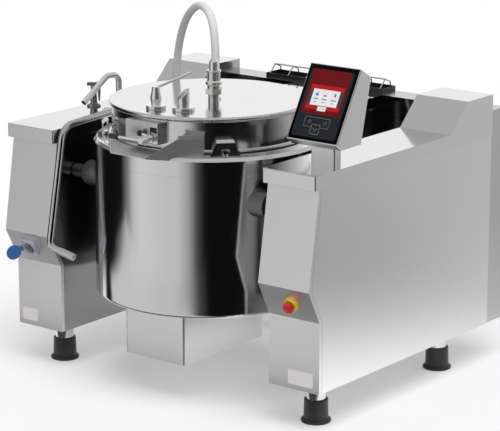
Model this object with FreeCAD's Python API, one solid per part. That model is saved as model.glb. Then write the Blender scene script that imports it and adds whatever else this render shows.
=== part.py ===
import FreeCAD, Part
import math
import os

# Round tilting skillet with a stirrer, hung on two trunnions between two columns.
# Millimetres. X runs across the machine, Y to its back and Z up from the floor.
# While the pieces are made, X is 0 midway between the columns and Y is 0 at the vessel's
# axis. write_nodes() then moves everything so that the origin is the middle of the
# footprint, on the floor.

V = FreeCAD.Vector

# Sheet, gaps and fits
SHEET = 2.0
THIN_SHEET = 1.5
PANEL_GAP = 1.0
REST_GAP = 0.3
RUN_FIT = 0.05

# Columns
BAY_WIDTH = 944.0
COLUMN_WIDTH = 210.0
COLUMN_BOTTOM = 147.0
WORKTOP = 900.0
LIP_DROP = 49.0
LIP_FRONT = -310.0
COVER_OVERHANG = 3.0
FRONT_TOP = -282.0
BULGE_FRONT = -337.0
BULGE_HEIGHT = 513.0
UNDERCUT_HEIGHT = 395.0
LOWER_FRONT = -276.0
COLUMN_BACK = 763.0
HUMP_FOOT = 491.0
HUMP_TOP_FRONT = 598.0
HUMP_HEIGHT = 1003.0
SEAM_DEPTH = 15.0
COVER_EDGE_RADIUS = 4.0

# Frame inside each column
POST = 40.0
POST_WALL = 3.0
REAR_POST_Y = 560.0
BEAM_SPACING = 240.0
BEARING_PLATE = 10.0
BEARING_PLATE_HEIGHT = 170.0
POST_SPACING = 130.0

CABINET_BOTTOM = 400.0
CABINET_HEIGHT = 360.0
CABINET_DEPTH = 380.0

# Feet
FOOT_FRONT_Y = -149.0
FOOT_BACK_Y = 596.0
FOOT_TUBE_RADIUS = 34.0
FOOT_TUBE_START = 36.0
SLEEVE_RADIUS = 41.0
SLEEVE_HEIGHT = 82.0
FLANGE_RADIUS = 52.0
FLANGE_HEIGHT = 9.0

# Housing behind the columns, with the flue on it
HOUSING_DEPTH = 103.0
HOUSING_TOP = 942.0
HOUSING_INSET = 4.0
FLUE_COVER_HALF_WIDTH = 205.0
FLUE_COVER_FRONT = 529.0
FLUE_COVER_DEPTH = 40.0
TRAY_LEFT = -352.0
TRAY_RIGHT = 192.0
TRAY_FRONT = 779.0
TRAY_BACK = 865.0
TRAY_HEIGHT = 18.0
TRAY_SLOTS = 4
TRAY_SLOT_WIDTH = 46.0
GUARD_WIRE = 2.6
GUARD_BAILS = 7
GUARD_HEIGHT = 48.0
GUARD_BEND = 9.0

# Vessel
PAN_RADIUS = 345.0
JACKET_RADIUS = PAN_RADIUS + 64.0
JACKET_BOTTOM = 340.0
JACKET_TOP = 886.0
JACKET_CORNER = 14.0
JACKET_SEAM = 835.0
SEAM_GAP = 1.5
RIM_RADIUS = JACKET_RADIUS + 1.0
RIM_EDGE_TOP = 900.0
RIM_TOP = 905.0
RIM_BEVEL = 11.0
RIM_SHEET = 3.0
RIM_SEAT_RADIUS = PAN_RADIUS + 13.0
PAN_WALL = 4.0
PAN_FLOOR = 470.0
PAN_FLOOR_THICKNESS = 12.0
PAN_CORNER = 50.0
WOOL_GAP = 0.3
BURNER_RADIUS = 20.0
BURNER_HEIGHT = 400.0
BURNER_SPACING = 92.0
BURNER_CIRCLE = 322.0
RAIL_OFFSET = 150.0
RAIL_WIDTH = 30.0

# Box under the vessel, with the stirrer's drive
DRIVE_BOX_HALF_WIDTH = 133.0
DRIVE_BOX_FRONT = -317.0
DRIVE_BOX_BACK = 132.0
DRIVE_BOX_BOTTOM = 150.0
DRIVE_BOX_CORNER = 12.0
GEARBOX_HALF = 70.0
GEARBOX_BOTTOM = 190.0
MOTOR_RADIUS = 62.0
MOTOR_AXIS_HEIGHT = 252.0
MOTOR_LENGTH = 215.0
FIN_COUNT = 12

# Stirrer
SHAFT_RADIUS = 20.0
SHAFT_TUBE_RADIUS = 34.0
SHAFT_TUBE_TOP = 500.0
SHAFT_BOTTOM = 250.0
HUB_RADIUS = 58.0
HUB_TOP = 640.0
ARM_THICKNESS = 12.0
ARM_ROOT_HEIGHT = 70.0
ARM_TIP_HEIGHT = 34.0
ARM_ROOT_PITCH = 8.0
ARM_TIP_PITCH = 48.0
ARM_COUNT = 3
SCRAPER_THICKNESS = 8.0
SCRAPER_CLEARANCE = 2.0
WALL_BLADE_TOP = 830.0
WALL_BLADE_WIDTH = 40.0

# Tilt axis
TILT_Y = -186.0
TILT_Z = 737.0
TRUNNION_RADIUS = 25.0
TRUNNION_HUB_RADIUS = 45.0
TRUNNION_HUB_WIDTH = 42.0
TRUNNION_END = 640.0
BEARING_FLANGE = 130.0
BEARING_FLANGE_THICKNESS = 14.0
BEARING_BOSS_RADIUS = 46.0
BEARING_LENGTH = 34.0
TILT_GEARBOX_SIZE = 150.0
TILT_GEARBOX_WIDTH = 84.0
TILT_MOTOR_RADIUS = 58.0
TILT_MOTOR_LENGTH = 210.0

# Spout on the rim
SPOUT_REAR_HALF_WIDTH = 214.5
SPOUT_REAR_Y = 108.0 - RIM_RADIUS
SPOUT_TIP_HALF_WIDTH = 77.5
SPOUT_TIP_Y = -34.0 - RIM_RADIUS
SPOUT_WALL_TOP = 960.0
SPOUT_FLAT_LENGTH = 90.0
SPOUT_TIP_HEIGHT = 901.0
SPOUT_LIP = 15.0
SPOUT_NOSE = 45.0
SPOUT_SHEET = 3.0
SPOUT_FLOOR_DROP = 9.0

# Lugs on the rim
LUG_ANGLE = 43.5
LUG_RADIUS = RIM_SEAT_RADIUS + 22.0
LUG_BASE_WIDTH = 108.0
LUG_TOP_WIDTH = 56.0
LUG_HEIGHT = 48.0
LUG_BEVEL = 10.0
LUG_SHEET = 3.0
LUG_BOLT_HEIGHT = 14.0
LUG_HOLE_RADIUS = 15.0
LUG_BACK_RADIUS = RIM_SEAT_RADIUS - 6.0

# Lid
LID_FLANGE_RADIUS = RIM_SEAT_RADIUS - 2.0
LID_SKIRT_RADIUS = RIM_SEAT_RADIUS - 12.0
LID_SHEET = 3.0
LID_TOP_PLATE = 4.0
GASKET_HEIGHT = 3.0
LID_FLANGE_THICKNESS = 5.0
LID_BEAD_BOTTOM = 1015.0
LID_TOP = 1029.0
LID_BEAD_RADIUS = 8.0

# Lid hinge and its lever
HINGE_Y = RIM_RADIUS + 35.0
HINGE_Z = 942.0
HINGE_SHAFT_RADIUS = 13.0
HINGE_BOSS_RADIUS = 25.0
CHEEK_THICKNESS = 12.0
CHEEK_X = (-250.0, -95.0, 95.0)
CHEEK_HEIGHT = 90.0
LID_ARM_X = 62.0
LID_ARM_THICKNESS = 10.0
LEVER_X = -40.5 - RIM_RADIUS
LEVER_RADIUS = 13.0
LEVER_WALL = 2.0
LEVER_TOP_Y = -272.0
LEVER_TOP_Z = 912.0
LEVER_LOW_Y = -355.0
LEVER_LOW_Z = 492.0
LEVER_TOP_BEND = 62.0
LEVER_LOW_BEND = 30.0
GRIP_RADIUS = 15.0
GRIP_LENGTH = 58.0
GRIP_END_X = LEVER_X + 98.0
GRIP_Y = -342.0
GRIP_Z = 477.0

# Lock at the lid's front
LOCK_BOX_LEFT = -64.0
LOCK_BOX_RIGHT = 82.0
LOCK_BOX_FRONT = -37.0 - LID_SKIRT_RADIUS
LOCK_BOX_BOTTOM = 935.0
LOCK_BOX_TOP = 1008.0
LOCK_WINDOW_WIDTH = 34.0
LOCK_WINDOW_HEIGHT = 56.0
LOCK_X = 64.0
LOCK_Z = 959.0
LOCK_TIP_Y = -454.0
LOCK_SPINDLE_RADIUS = 10.0
LOCK_ROD_RADIUS = 4.5
LOCK_ROD_REACH = 122.0
LOCK_GRIP_RADIUS = 10.0
LOCK_ROD_Y = -446.0
LOCK_GRIP_LENGTH = 36.0
LOCK_BALL_REACH = 47.0
LOCK_BALL_Y = -399.0
LOCK_BALL_RADIUS = 11.0

# Fittings on the lid
LEVER_VALVE = (-26.5, -263.0)
VENT = (67.5, -230.0)
SAFETY_VALVE = (58.5, -53.0)
SAFETY_NUT_RADIUS = 31.0
VALVE_FLANGE_RADIUS = 35.0
VALVE_FLANGE_THICKNESS = 12.0
VALVE_BARREL_TOP = 1096.0
VALVE_ROD_VECTOR = (25.0, 159.0, 31.0)
VALVE_ROD_RADIUS = 5.0
VENT_FLANGE_RADIUS = 39.0
VENT_PIPE_RADIUS = 21.0
VENT_PIPE_HIGH = 75.0
VENT_SLANT_TURN = 65.0
VENT_PIPE_LOW = 38.0
VENT_PIPE_WALL = 2.0

# Hose from the lid's top over to its skirt
HOSE_RADIUS = 14.0
HOSE_WALL = 3.0
HOSE_ROUTE = (
    (35.0, -14.0, 1075.0),
    (35.0, -14.0, 1140.0),
    (33.7, -13.2, 1205.0),
    (23.8, -7.4, 1272.0),
    (-8.0, 11.5, 1320.0),
    (-59.7, 42.0, 1338.0),
    (-119.9, 77.7, 1335.0),
    (-216.3, 134.7, 1278.0),
    (-283.4, 174.4, 1178.0),
    (-311.0, 190.7, 1080.0),
    (-326.5, 199.9, 985.0),
)
HOSE_TAIL = 26.0
ELBOW_BEND = 26.0

# Water tap on the left column
TAP_VALVE = (-549.5, 3.0)
TAP_BODY_RADIUS = 10.0
TAP_COLLAR_RADIUS = 25.0
TAP_TOP = 1004.0
TAP_HANDLE_REACH = 24.0
TAP_HANDLE_DROP = 52.0
SPOUT_PIPE_RADIUS = 11.0
SPOUT_PIPE_X = -504.0
SPOUT_PIPE_Y = 92.0
SPOUT_PIPE_TOP = 1052.0
SPOUT_PIPE_BEND = 38.0
SPOUT_PIPE_END_Y = -102.0
SPOUT_PIPE_END_Z = 962.0
TAP_BASE_RADIUS = 19.0
TAP_BASE_HEIGHT = 26.0
PLUG_POSITION = (-536.0, 62.0)
PLUG_RADIUS = 21.0

# Display on the right column
DISPLAY_LEFT = 484.5
DISPLAY_RIGHT = 690.5
DISPLAY_TOP_FRONT = (-66.0, 1218.0)
DISPLAY_LOW_FRONT = (-201.0, 983.0)
DISPLAY_LOW_BOTTOM = (-171.0, 962.0)
DISPLAY_LOW_BACK = (-62.0, 964.0)
DISPLAY_TOP_BACK = (-8.0, 1185.0)
DISPLAY_SHEET = 2.0
SCREEN_MARGIN = 6.0
SCREEN_THICKNESS = 4.0
STAND_WIDTH = 96.0
STAND_FRONT = -123.0
STAND_BACK = -82.0

# Stop button and socket on the undercut faces, blank plates below
STOP_X = 589.5
STOP_HEIGHT = 454.0
STOP_COLLAR_RADIUS = 27.0
STOP_COLLAR_HEIGHT = 10.0
STOP_STEM_RADIUS = 11.0
STOP_HEAD_RADIUS = 20.0
STOP_HEAD_HEIGHT = 15.0
STOP_TRAVEL = 4.0
SOCKET_X = -583.5
SOCKET_HEIGHT = 459.0
SOCKET_SIZE = 62.0
SOCKET_HEIGHT_OUT = 14.0
SOCKET_BORE = 23.0
SOCKET_CORNER = 8.0
CAP_RADIUS = 28.0
CAP_THICKNESS = 9.0
CAP_OPEN_ANGLE = 115.0
CAP_PIN_RADIUS = 1.8
PLATE_THICKNESS = 1.0
PLATE_CORNER = 6.0
RIGHT_PLATE = (604.5, 189.0, 104.0, 50.0)
LEFT_PLATE = (-627.5, 188.0, 74.0, 46.0)

# Supply at the back
WATER_PIPE_RADIUS = 9.0
WATER_INLET_RADIUS = 13.2
WATER_INLET_LENGTH = 24.0
WATER_INLET_HEIGHT = 260.0
NECK_RELIEF = 1.0
NECK_LENGTH = 1.5
GAS_INLET_RADIUS = 16.6
GAS_INLET_LENGTH = 28.0
GAS_INLET_X = 560.0
GAS_INLET_HEIGHT = 240.0
GLAND_X = 640.0
GLAND_HEIGHT = 340.0
GLAND_BORE = 11.0
GLAND_RADIUS = 19.0
GLAND_LENGTH = 22.0

INNER_X = BAY_WIDTH / 2
OUTER_X = INNER_X + COLUMN_WIDTH
COLUMN_MIDDLE = INNER_X + COLUMN_WIDTH / 2
PANEL_TOP = WORKTOP - SHEET - PANEL_GAP
FLANGE_TOP = WORKTOP - LIP_DROP - PANEL_GAP
HOUSING_BACK = COLUMN_BACK + HOUSING_DEPTH
GASKET_BOTTOM = RIM_TOP + REST_GAP
LID_BOTTOM = GASKET_BOTTOM + GASKET_HEIGHT
FRONT_REACH = LOCK_ROD_Y - LOCK_GRIP_RADIUS
BACK_REACH = HOUSING_BACK + GAS_INLET_LENGTH
MIDDLE_X = (DISPLAY_RIGHT - OUTER_X - COVER_OVERHANG) / 2
MIDDLE_Y = (FRONT_REACH + BACK_REACH) / 2


def box(x0, x1, y0, y1, z0, z1):
    return Part.makeBox(x1 - x0, y1 - y0, z1 - z0, V(x0, y0, z0))


def cylinder(base, direction, radius, height):
    return Part.makeCylinder(radius, height, base, direction)


def tube(base, direction, outer, inner, height):
    return cylinder(base, direction, outer, height).cut(cylinder(base, direction, inner, height))


def mirrored(shape):
    return shape.mirror(V(0, 0, 0), V(1, 0, 0))


def rounded_wire(points, radii, closed=False):
    """Straight edges through the points, with a tangent arc of its own radius at each corner."""
    count = len(points)
    starts = []
    ends = []
    middles = []
    for i in range(count):
        here = points[i]
        at_end = not closed and i in (0, count - 1)
        radius = 0.0 if at_end else radii[i]
        if radius <= 0:
            starts.append(here)
            ends.append(here)
            middles.append(None)
            continue
        back = (points[i - 1] - here).normalize()
        ahead = (points[(i + 1) % count] - here).normalize()
        half = back.getAngle(ahead) / 2
        reach = radius / math.tan(half)
        bisector = (back + ahead).normalize()
        centre = here + bisector * (radius / math.sin(half))
        starts.append(here + back * reach)
        ends.append(here + ahead * reach)
        middles.append(centre - bisector * radius)
    edges = []
    for i in range(count):
        if middles[i] is not None:
            edges.append(Part.Arc(starts[i], middles[i], ends[i]).toShape())
        if i == count - 1 and not closed:
            break
        start = ends[i]
        end = starts[(i + 1) % count]
        if (end - start).Length > 1e-6:
            edges.append(Part.LineSegment(start, end).toShape())
    return Part.Wire(edges)


def rounded_face(points, radii):
    if not isinstance(radii, (list, tuple)):
        radii = [radii] * len(points)
    return Part.Face(rounded_wire(points, radii, closed=True))


def side_prism(outline, x0, x1, radii=0.0):
    """Prism along X of an outline given as (y, z)."""
    face = rounded_face([V(x0, y, z) for y, z in outline], radii)
    return face.extrude(V(x1 - x0, 0, 0))


def floor_prism(outline, z0, z1, radii=0.0):
    """Prism along Z of an outline given as (x, y)."""
    face = rounded_face([V(x, y, z0) for x, y in outline], radii)
    return face.extrude(V(0, 0, z1 - z0))


def front_prism(outline, y0, y1, radii=0.0):
    """Prism along Y of an outline given as (x, z)."""
    face = rounded_face([V(x, y0, z) for x, z in outline], radii)
    return face.extrude(V(0, y1 - y0, 0))


def rectangle(a0, a1, b0, b1):
    return [(a0, b0), (a1, b0), (a1, b1), (a0, b1)]


def turned(outline, radii=0.0, centre=(0.0, 0.0)):
    """Full turn about the vertical through centre of an outline given as (radius, z)."""
    face = rounded_face([V(centre[0] + r, centre[1], z) for r, z in outline], radii)
    return face.revolve(V(centre[0], centre[1], 0), V(0, 0, 1), 360)


def swept_tube(points, bends, radius, wall=0.0):
    """Round bar, or tube with a wall, along straight runs joined by tangent arcs."""
    path = rounded_wire(points, bends)
    direction = points[1] - points[0]
    outer = Part.Wire(Part.makeCircle(radius, points[0], direction))
    solid = path.makePipeShell([outer], True, True)
    if wall > 0:
        inner = Part.Wire(Part.makeCircle(radius - wall, points[0], direction))
        solid = solid.cut(path.makePipeShell([inner], True, True))
    return solid


def grown(outline, step):
    """The outline moved in or out by step, corners kept sharp."""
    wire = Part.makePolygon([V(a, b, 0) for a, b in outline] + [V(outline[0][0], outline[0][1], 0)])
    moved = Part.Face(wire).makeOffset2D(step, 2)
    return [(v.X, v.Y) for v in moved.OuterWire.OrderedVertexes]


def rounded_along(shape, radius, chosen):
    return shape.makeFillet(radius, [e for e in shape.Edges if chosen(e.CenterOfMass)])


def front_line():
    """Side view of a column's front, from under the worktop down to its bottom."""
    slope = (BULGE_FRONT - FRONT_TOP) / (BULGE_HEIGHT - (WORKTOP - LIP_DROP))
    top = FRONT_TOP + slope * (PANEL_TOP - (WORKTOP - LIP_DROP))
    return [
        (top, PANEL_TOP),
        (BULGE_FRONT, BULGE_HEIGHT),
        (LOWER_FRONT, UNDERCUT_HEIGHT),
        (LOWER_FRONT, COLUMN_BOTTOM),
    ]


def shifted(line, step):
    return [(y + step, z) for y, z in line]


def undercut_frame(x, height):
    """Point on the undercut face at a height, and the face's outward normal."""
    run = LOWER_FRONT - BULGE_FRONT
    rise = BULGE_HEIGHT - UNDERCUT_HEIGHT
    y = LOWER_FRONT - run * (height - UNDERCUT_HEIGHT) / rise
    normal = V(0, -rise, -run).normalize()
    return V(x, y, height), normal


def front_cover():
    line = front_line()
    outside = line + shifted(line, SEAM_DEPTH)[::-1]
    inside = shifted(line, SHEET) + shifted(line, SEAM_DEPTH + PANEL_GAP)[::-1]
    cover = side_prism(outside, INNER_X, OUTER_X)
    return cover.cut(side_prism(inside, INNER_X + SHEET, OUTER_X - SHEET))


def column_side_outline():
    line = shifted(front_line(), SEAM_DEPTH + PANEL_GAP)
    notch = COLUMN_BACK - SHEET - REST_GAP
    return line + [(COLUMN_BACK, COLUMN_BOTTOM), (COLUMN_BACK, FLANGE_TOP), (notch, FLANGE_TOP), (notch, PANEL_TOP)]


def side_cover():
    plate = side_prism(column_side_outline(), OUTER_X - SHEET, OUTER_X)
    flange = box(OUTER_X - 30, OUTER_X, COLUMN_BACK - SHEET, COLUMN_BACK, COLUMN_BOTTOM, FLANGE_TOP)
    return plate.fuse(flange).removeSplitter()


def inner_cover():
    plate = side_prism(column_side_outline(), INNER_X, INNER_X + SHEET)
    flange = box(INNER_X, INNER_X + 30, COLUMN_BACK - SHEET, COLUMN_BACK, COLUMN_BOTTOM, FLANGE_TOP)
    cover = plate.fuse(flange).removeSplitter()
    cover = cover.cut(cylinder(V(INNER_X - 1, TILT_Y, TILT_Z), V(1, 0, 0), TRUNNION_RADIUS + 5, 60))
    for beam in cross_beams(PANEL_GAP):
        cover = cover.cut(beam)
    return cover


def top_cover():
    low = WORKTOP - LIP_DROP
    outline = [
        (LIP_FRONT, low),
        (LIP_FRONT, WORKTOP),
        (HUMP_FOOT, WORKTOP),
        (HUMP_TOP_FRONT, HUMP_HEIGHT),
        (COLUMN_BACK, HUMP_HEIGHT),
        (COLUMN_BACK, low),
    ]
    x0 = INNER_X - COVER_OVERHANG
    x1 = OUTER_X + COVER_OVERHANG
    solid = side_prism(outline, x0, x1)
    solid = rounded_along(solid, COVER_EDGE_RADIUS, lambda c: abs(c.y - LIP_FRONT) < 0.01 and c.z > low + 1)
    deep = [(y, z - 2 * SHEET if z == low else z) for y, z in outline]
    return solid.cut(side_prism(grown(deep, -SHEET), x0 + SHEET, x1 - SHEET))


def column_frame():
    """Base plate, two posts with the bearing plate between them, a rear post and the foot tubes."""
    x0 = INNER_X + SHEET
    x1 = OUTER_X - SHEET
    base = box(x0, x1, LOWER_FRONT + SHEET, COLUMN_BACK - SHEET, COLUMN_BOTTOM, COLUMN_BOTTOM + 4)
    parts = []
    low = COLUMN_BOTTOM + 4
    for y in (TILT_Y - POST_SPACING / 2, TILT_Y + POST_SPACING / 2, REAR_POST_Y):
        top = min(PANEL_TOP - 4, TILT_Z + BEARING_PLATE_HEIGHT / 2)
        outer = box(x0 + 1, x0 + 1 + POST, y - POST / 2, y + POST / 2, low, top)
        hollow = grown(rectangle(x0 + 1, x0 + 1 + POST, y - POST / 2, y + POST / 2), -POST_WALL)
        parts.append(outer.cut(floor_prism(hollow, low - 1, top + 1)))
    plate_x = x0 + 1 + POST
    plate = box(
        plate_x,
        plate_x + BEARING_PLATE,
        TILT_Y - POST_SPACING / 2 - POST / 2,
        TILT_Y + POST_SPACING / 2 + POST / 2,
        TILT_Z - BEARING_PLATE_HEIGHT / 2,
        TILT_Z + BEARING_PLATE_HEIGHT / 2,
    )
    hole = cylinder(V(plate_x - 1, TILT_Y, TILT_Z), V(1, 0, 0), TRUNNION_RADIUS + 5, BEARING_PLATE + 2)
    shelf = box(x0 + 1 + POST, OUTER_X - 40, REAR_POST_Y - 180, REAR_POST_Y, CABINET_BOTTOM - 3, CABINET_BOTTOM)
    legs = [foot_tube(y) for y in (FOOT_FRONT_Y, FOOT_BACK_Y)]
    return base.multiFuse(parts + legs + [shelf, plate.cut(hole)])


def cross_beams(clearance):
    """Outer shapes of the two beams that cross the bay behind the rear posts."""
    half = OUTER_X - HOUSING_INSET - SHEET - 1
    y = REAR_POST_Y + POST / 2
    c = clearance
    low = COLUMN_BOTTOM + 4
    return [box(-half, half, y - c, y + POST + c, z - c, z + POST + c) for z in (low, low + BEAM_SPACING)]


def main_frame():
    """Both welded column frames, and the two box beams bolted across behind their rear posts."""
    inner = [rim.BoundBox for rim in cross_beams(-POST_WALL)]
    hollows = [box(b.XMin - 9, b.XMax + 9, b.YMin, b.YMax, b.ZMin, b.ZMax) for b in inner]
    beams = [beam.cut(hollow) for beam, hollow in zip(cross_beams(0), hollows)]
    right = column_frame()
    return Part.makeCompound([right, mirrored(right)] + beams)


def bearing():
    """Flanged housing bolted to the bearing plate; its bore carries the trunnion."""
    x0 = INNER_X + SHEET + 1 + POST + BEARING_PLATE
    half = BEARING_FLANGE / 2
    outline = rectangle(TILT_Y - half, TILT_Y + half, TILT_Z - half, TILT_Z + half)
    flange = side_prism(outline, x0, x0 + BEARING_FLANGE_THICKNESS, radii=14.0)
    boss = cylinder(V(x0, TILT_Y, TILT_Z), V(1, 0, 0), BEARING_BOSS_RADIUS, BEARING_LENGTH)
    bore = cylinder(V(x0 - 1, TILT_Y, TILT_Z), V(1, 0, 0), TRUNNION_RADIUS + RUN_FIT, BEARING_LENGTH + 2)
    return flange.fuse(boss).cut(bore)


def hexagon_bar(base, direction, radius, height):
    """Six-sided bar; radius is to its corners."""
    turn = FreeCAD.Rotation(V(0, 0, 1), direction)
    points = []
    for i in range(6):
        angle = math.radians(60 * i)
        points.append(base + turn.multVec(V(radius * math.cos(angle), radius * math.sin(angle), 0)))
    return Part.Face(Part.makePolygon(points + [points[0]])).extrude(V(direction).normalize() * height)


def foot_tube(y):
    height = COLUMN_BOTTOM + 2 - FOOT_TUBE_START
    return tube(V(COLUMN_MIDDLE, y, FOOT_TUBE_START), V(0, 0, 1), FOOT_TUBE_RADIUS, FOOT_TUBE_RADIUS - 3, height)


def foot_sleeve(y):
    """Adjustable sleeve with a flared flange that stands on the floor."""
    outline = [
        (0, 0),
        (FLANGE_RADIUS, 0),
        (FLANGE_RADIUS, FLANGE_HEIGHT),
        (SLEEVE_RADIUS + 2, FLANGE_HEIGHT + 7),
        (SLEEVE_RADIUS, SLEEVE_HEIGHT),
        (FOOT_TUBE_RADIUS + 0.2, SLEEVE_HEIGHT),
        (FOOT_TUBE_RADIUS + 0.2, FOOT_TUBE_START),
        (0, FOOT_TUBE_START),
    ]
    return turned(outline, [0, 3, 3, 0, 2, 0, 0, 0], (COLUMN_MIDDLE, y))


def rear_housing():
    """Folded housing behind both columns, open towards them."""
    half = OUTER_X - HOUSING_INSET
    outer = box(-half, half, COLUMN_BACK, HOUSING_BACK, COLUMN_BOTTOM, HOUSING_TOP)
    outer = rounded_along(outer, 4.0, lambda c: abs(c.z - HOUSING_TOP) < 0.01 and abs(c.y - HOUSING_BACK) < 0.01)
    inner = box(
        -half + SHEET, half - SHEET, COLUMN_BACK - 1, HOUSING_BACK - SHEET, COLUMN_BOTTOM + SHEET, HOUSING_TOP - SHEET
    )
    shell = outer.cut(inner)
    for slot in tray_slots(HOUSING_TOP - SHEET - 1, HOUSING_TOP + 1):
        shell = shell.cut(slot)
    holes = (
        (TAP_VALVE[0], WATER_INLET_HEIGHT, WATER_INLET_RADIUS - NECK_RELIEF + REST_GAP),
        (GAS_INLET_X, GAS_INLET_HEIGHT, GAS_INLET_RADIUS - NECK_RELIEF + REST_GAP),
        (GLAND_X, GLAND_HEIGHT, GLAND_RADIUS - 5 + REST_GAP),
    )
    for x, z, radius in holes:
        shell = shell.cut(cylinder(V(x, HOUSING_BACK - SHEET - 1, z), V(0, 1, 0), radius, SHEET + 2))
    return shell


def rear_panel():
    """Polished panel that closes the bay at the back."""
    half = INNER_X - COVER_OVERHANG - PANEL_GAP
    return box(-half, half, COLUMN_BACK - SHEET, COLUMN_BACK, COLUMN_BOTTOM, HOUSING_TOP)


def flue_cover():
    """Low polished cover in front of the flue, folded from one sheet and open below."""
    half = FLUE_COVER_HALF_WIDTH
    back = COLUMN_BACK - SHEET
    low = HOUSING_TOP - FLUE_COVER_DEPTH
    outer = box(-half, half, FLUE_COVER_FRONT, back, low, HOUSING_TOP)
    outer = rounded_along(outer, 6.0, lambda c: abs(c.y - FLUE_COVER_FRONT) < 0.01 and abs(c.z - HOUSING_TOP) < 0.01)
    inner = box(-half + SHEET, half - SHEET, FLUE_COVER_FRONT + SHEET, back + 1, low - 1, HOUSING_TOP - SHEET)
    return outer.cut(inner)


def tray_slots(z0, z1):
    """Openings through which the burnt gas leaves, under the tray's guard."""
    pitch = (TRAY_RIGHT - TRAY_LEFT) / TRAY_SLOTS
    middle = (TRAY_FRONT + TRAY_BACK) / 2
    slots = []
    for i in range(TRAY_SLOTS):
        x = TRAY_LEFT + pitch * (i + 0.5)
        half = pitch / 2 - 12
        outline = rectangle(x - half, x + half, middle - TRAY_SLOT_WIDTH / 2, middle + TRAY_SLOT_WIDTH / 2)
        slots.append(floor_prism(outline, z0, z1, radii=8.0))
    return slots


def flue_tray():
    outer = box(TRAY_LEFT, TRAY_RIGHT, TRAY_FRONT, TRAY_BACK, HOUSING_TOP, HOUSING_TOP + TRAY_HEIGHT)
    inner = box(
        TRAY_LEFT + THIN_SHEET,
        TRAY_RIGHT - THIN_SHEET,
        TRAY_FRONT + THIN_SHEET,
        TRAY_BACK - THIN_SHEET,
        HOUSING_TOP + THIN_SHEET,
        HOUSING_TOP + TRAY_HEIGHT + 1,
    )
    tray = outer.cut(inner)
    for slot in tray_slots(HOUSING_TOP - 1, HOUSING_TOP + THIN_SHEET + 1):
        tray = tray.cut(slot)
    return tray


def flue_guard():
    """Bent wire bails over the tray, tied by a rod along their tops."""
    floor = HOUSING_TOP + THIN_SHEET
    top = HOUSING_TOP + GUARD_HEIGHT
    front = TRAY_FRONT + THIN_SHEET + GUARD_WIRE + REST_GAP
    back = TRAY_BACK - THIN_SHEET - 12
    peak = (front + back) / 2
    first = TRAY_LEFT + 16
    last = TRAY_RIGHT - 14
    pitch = (last - first) / (GUARD_BAILS - 1)
    guard = cylinder(V(first - 4, peak, top), V(1, 0, 0), GUARD_WIRE, last - first + 8)
    for i in range(GUARD_BAILS):
        x = first + i * pitch
        points = [V(x, front, floor), V(x, front, floor + 14), V(x, peak, top), V(x, back, top - 14), V(x, back, floor)]
        bail = swept_tube(points, [0, GUARD_BEND, GUARD_BEND, GUARD_BEND, 0], GUARD_WIRE)
        guard = guard.fuse(bail)
    return guard


def vessel_jacket():
    """Outer wall and bottom of the vessel, up to the seam."""
    r = JACKET_RADIUS
    outline = [
        (SHAFT_RADIUS + 4, JACKET_BOTTOM),
        (r, JACKET_BOTTOM),
        (r, JACKET_SEAM),
        (r - SHEET, JACKET_SEAM),
        (r - SHEET, JACKET_BOTTOM + SHEET),
        (SHAFT_RADIUS + 4, JACKET_BOTTOM + SHEET),
    ]
    return turned(outline, [0, JACKET_CORNER, 0, 0, JACKET_CORNER - SHEET, 0])


def jacket_band():
    """Upper band of the wall; it laps behind the jacket, with a narrow groove between them."""
    r = JACKET_RADIUS
    low = JACKET_SEAM + SEAM_GAP
    outline = [
        (r, low),
        (r, JACKET_TOP),
        (r - 2 * SHEET, JACKET_TOP),
        (r - 2 * SHEET, JACKET_SEAM - 12),
        (r - SHEET - 0.1, JACKET_SEAM - 12),
        (r - SHEET - 0.1, low),
    ]
    return turned(outline)


def rim_ring():
    """Polished rim: a flat seat for the lid, a slope to drain outwards and a turned-down edge."""
    t = RIM_SHEET
    inner = PAN_RADIUS + PAN_WALL
    outline = [
        (inner, RIM_TOP),
        (RIM_SEAT_RADIUS, RIM_TOP),
        (RIM_RADIUS - RIM_BEVEL, RIM_EDGE_TOP),
        (RIM_RADIUS, RIM_EDGE_TOP - RIM_BEVEL),
        (RIM_RADIUS, JACKET_TOP),
        (RIM_RADIUS - t, JACKET_TOP),
        (RIM_RADIUS - t, RIM_EDGE_TOP - RIM_BEVEL - 1.2),
        (RIM_RADIUS - RIM_BEVEL - 1.2, RIM_EDGE_TOP - t),
        (RIM_SEAT_RADIUS, RIM_TOP - t),
        (inner, RIM_TOP - t),
    ]
    return turned(outline, [0, 0, 8, 0.6, 0, 0, 0.4, 5.5, 0, 0])


def pan():
    """Deep round pan, with the tube that carries the stirrer's shaft welded into its floor."""
    t = PAN_WALL
    r = PAN_RADIUS
    under = PAN_FLOOR - PAN_FLOOR_THICKNESS
    outline = [
        (r, RIM_TOP),
        (r, PAN_FLOOR),
        (SHAFT_TUBE_RADIUS, PAN_FLOOR),
        (SHAFT_TUBE_RADIUS, SHAFT_TUBE_TOP),
        (SHAFT_RADIUS + RUN_FIT, SHAFT_TUBE_TOP),
        (SHAFT_RADIUS + RUN_FIT, JACKET_BOTTOM + SHEET + 1),
        (SHAFT_TUBE_RADIUS, JACKET_BOTTOM + SHEET + 1),
        (SHAFT_TUBE_RADIUS, under),
        (r + t, under),
        (r + t, RIM_TOP),
    ]
    return turned(outline, [0, PAN_CORNER, 5, 1, 0, 0, 0, 0, PAN_CORNER + t, 0])


def insulation():
    """Mineral wool between the pan and the jacket."""
    inner = PAN_RADIUS + PAN_WALL + WOOL_GAP
    outer = JACKET_RADIUS - 2 * SHEET - WOOL_GAP
    return turned([(inner, PAN_FLOOR + PAN_CORNER), (outer, PAN_FLOOR + PAN_CORNER), (outer, JACKET_TOP - 6), (inner, JACKET_TOP - 6)])


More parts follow.
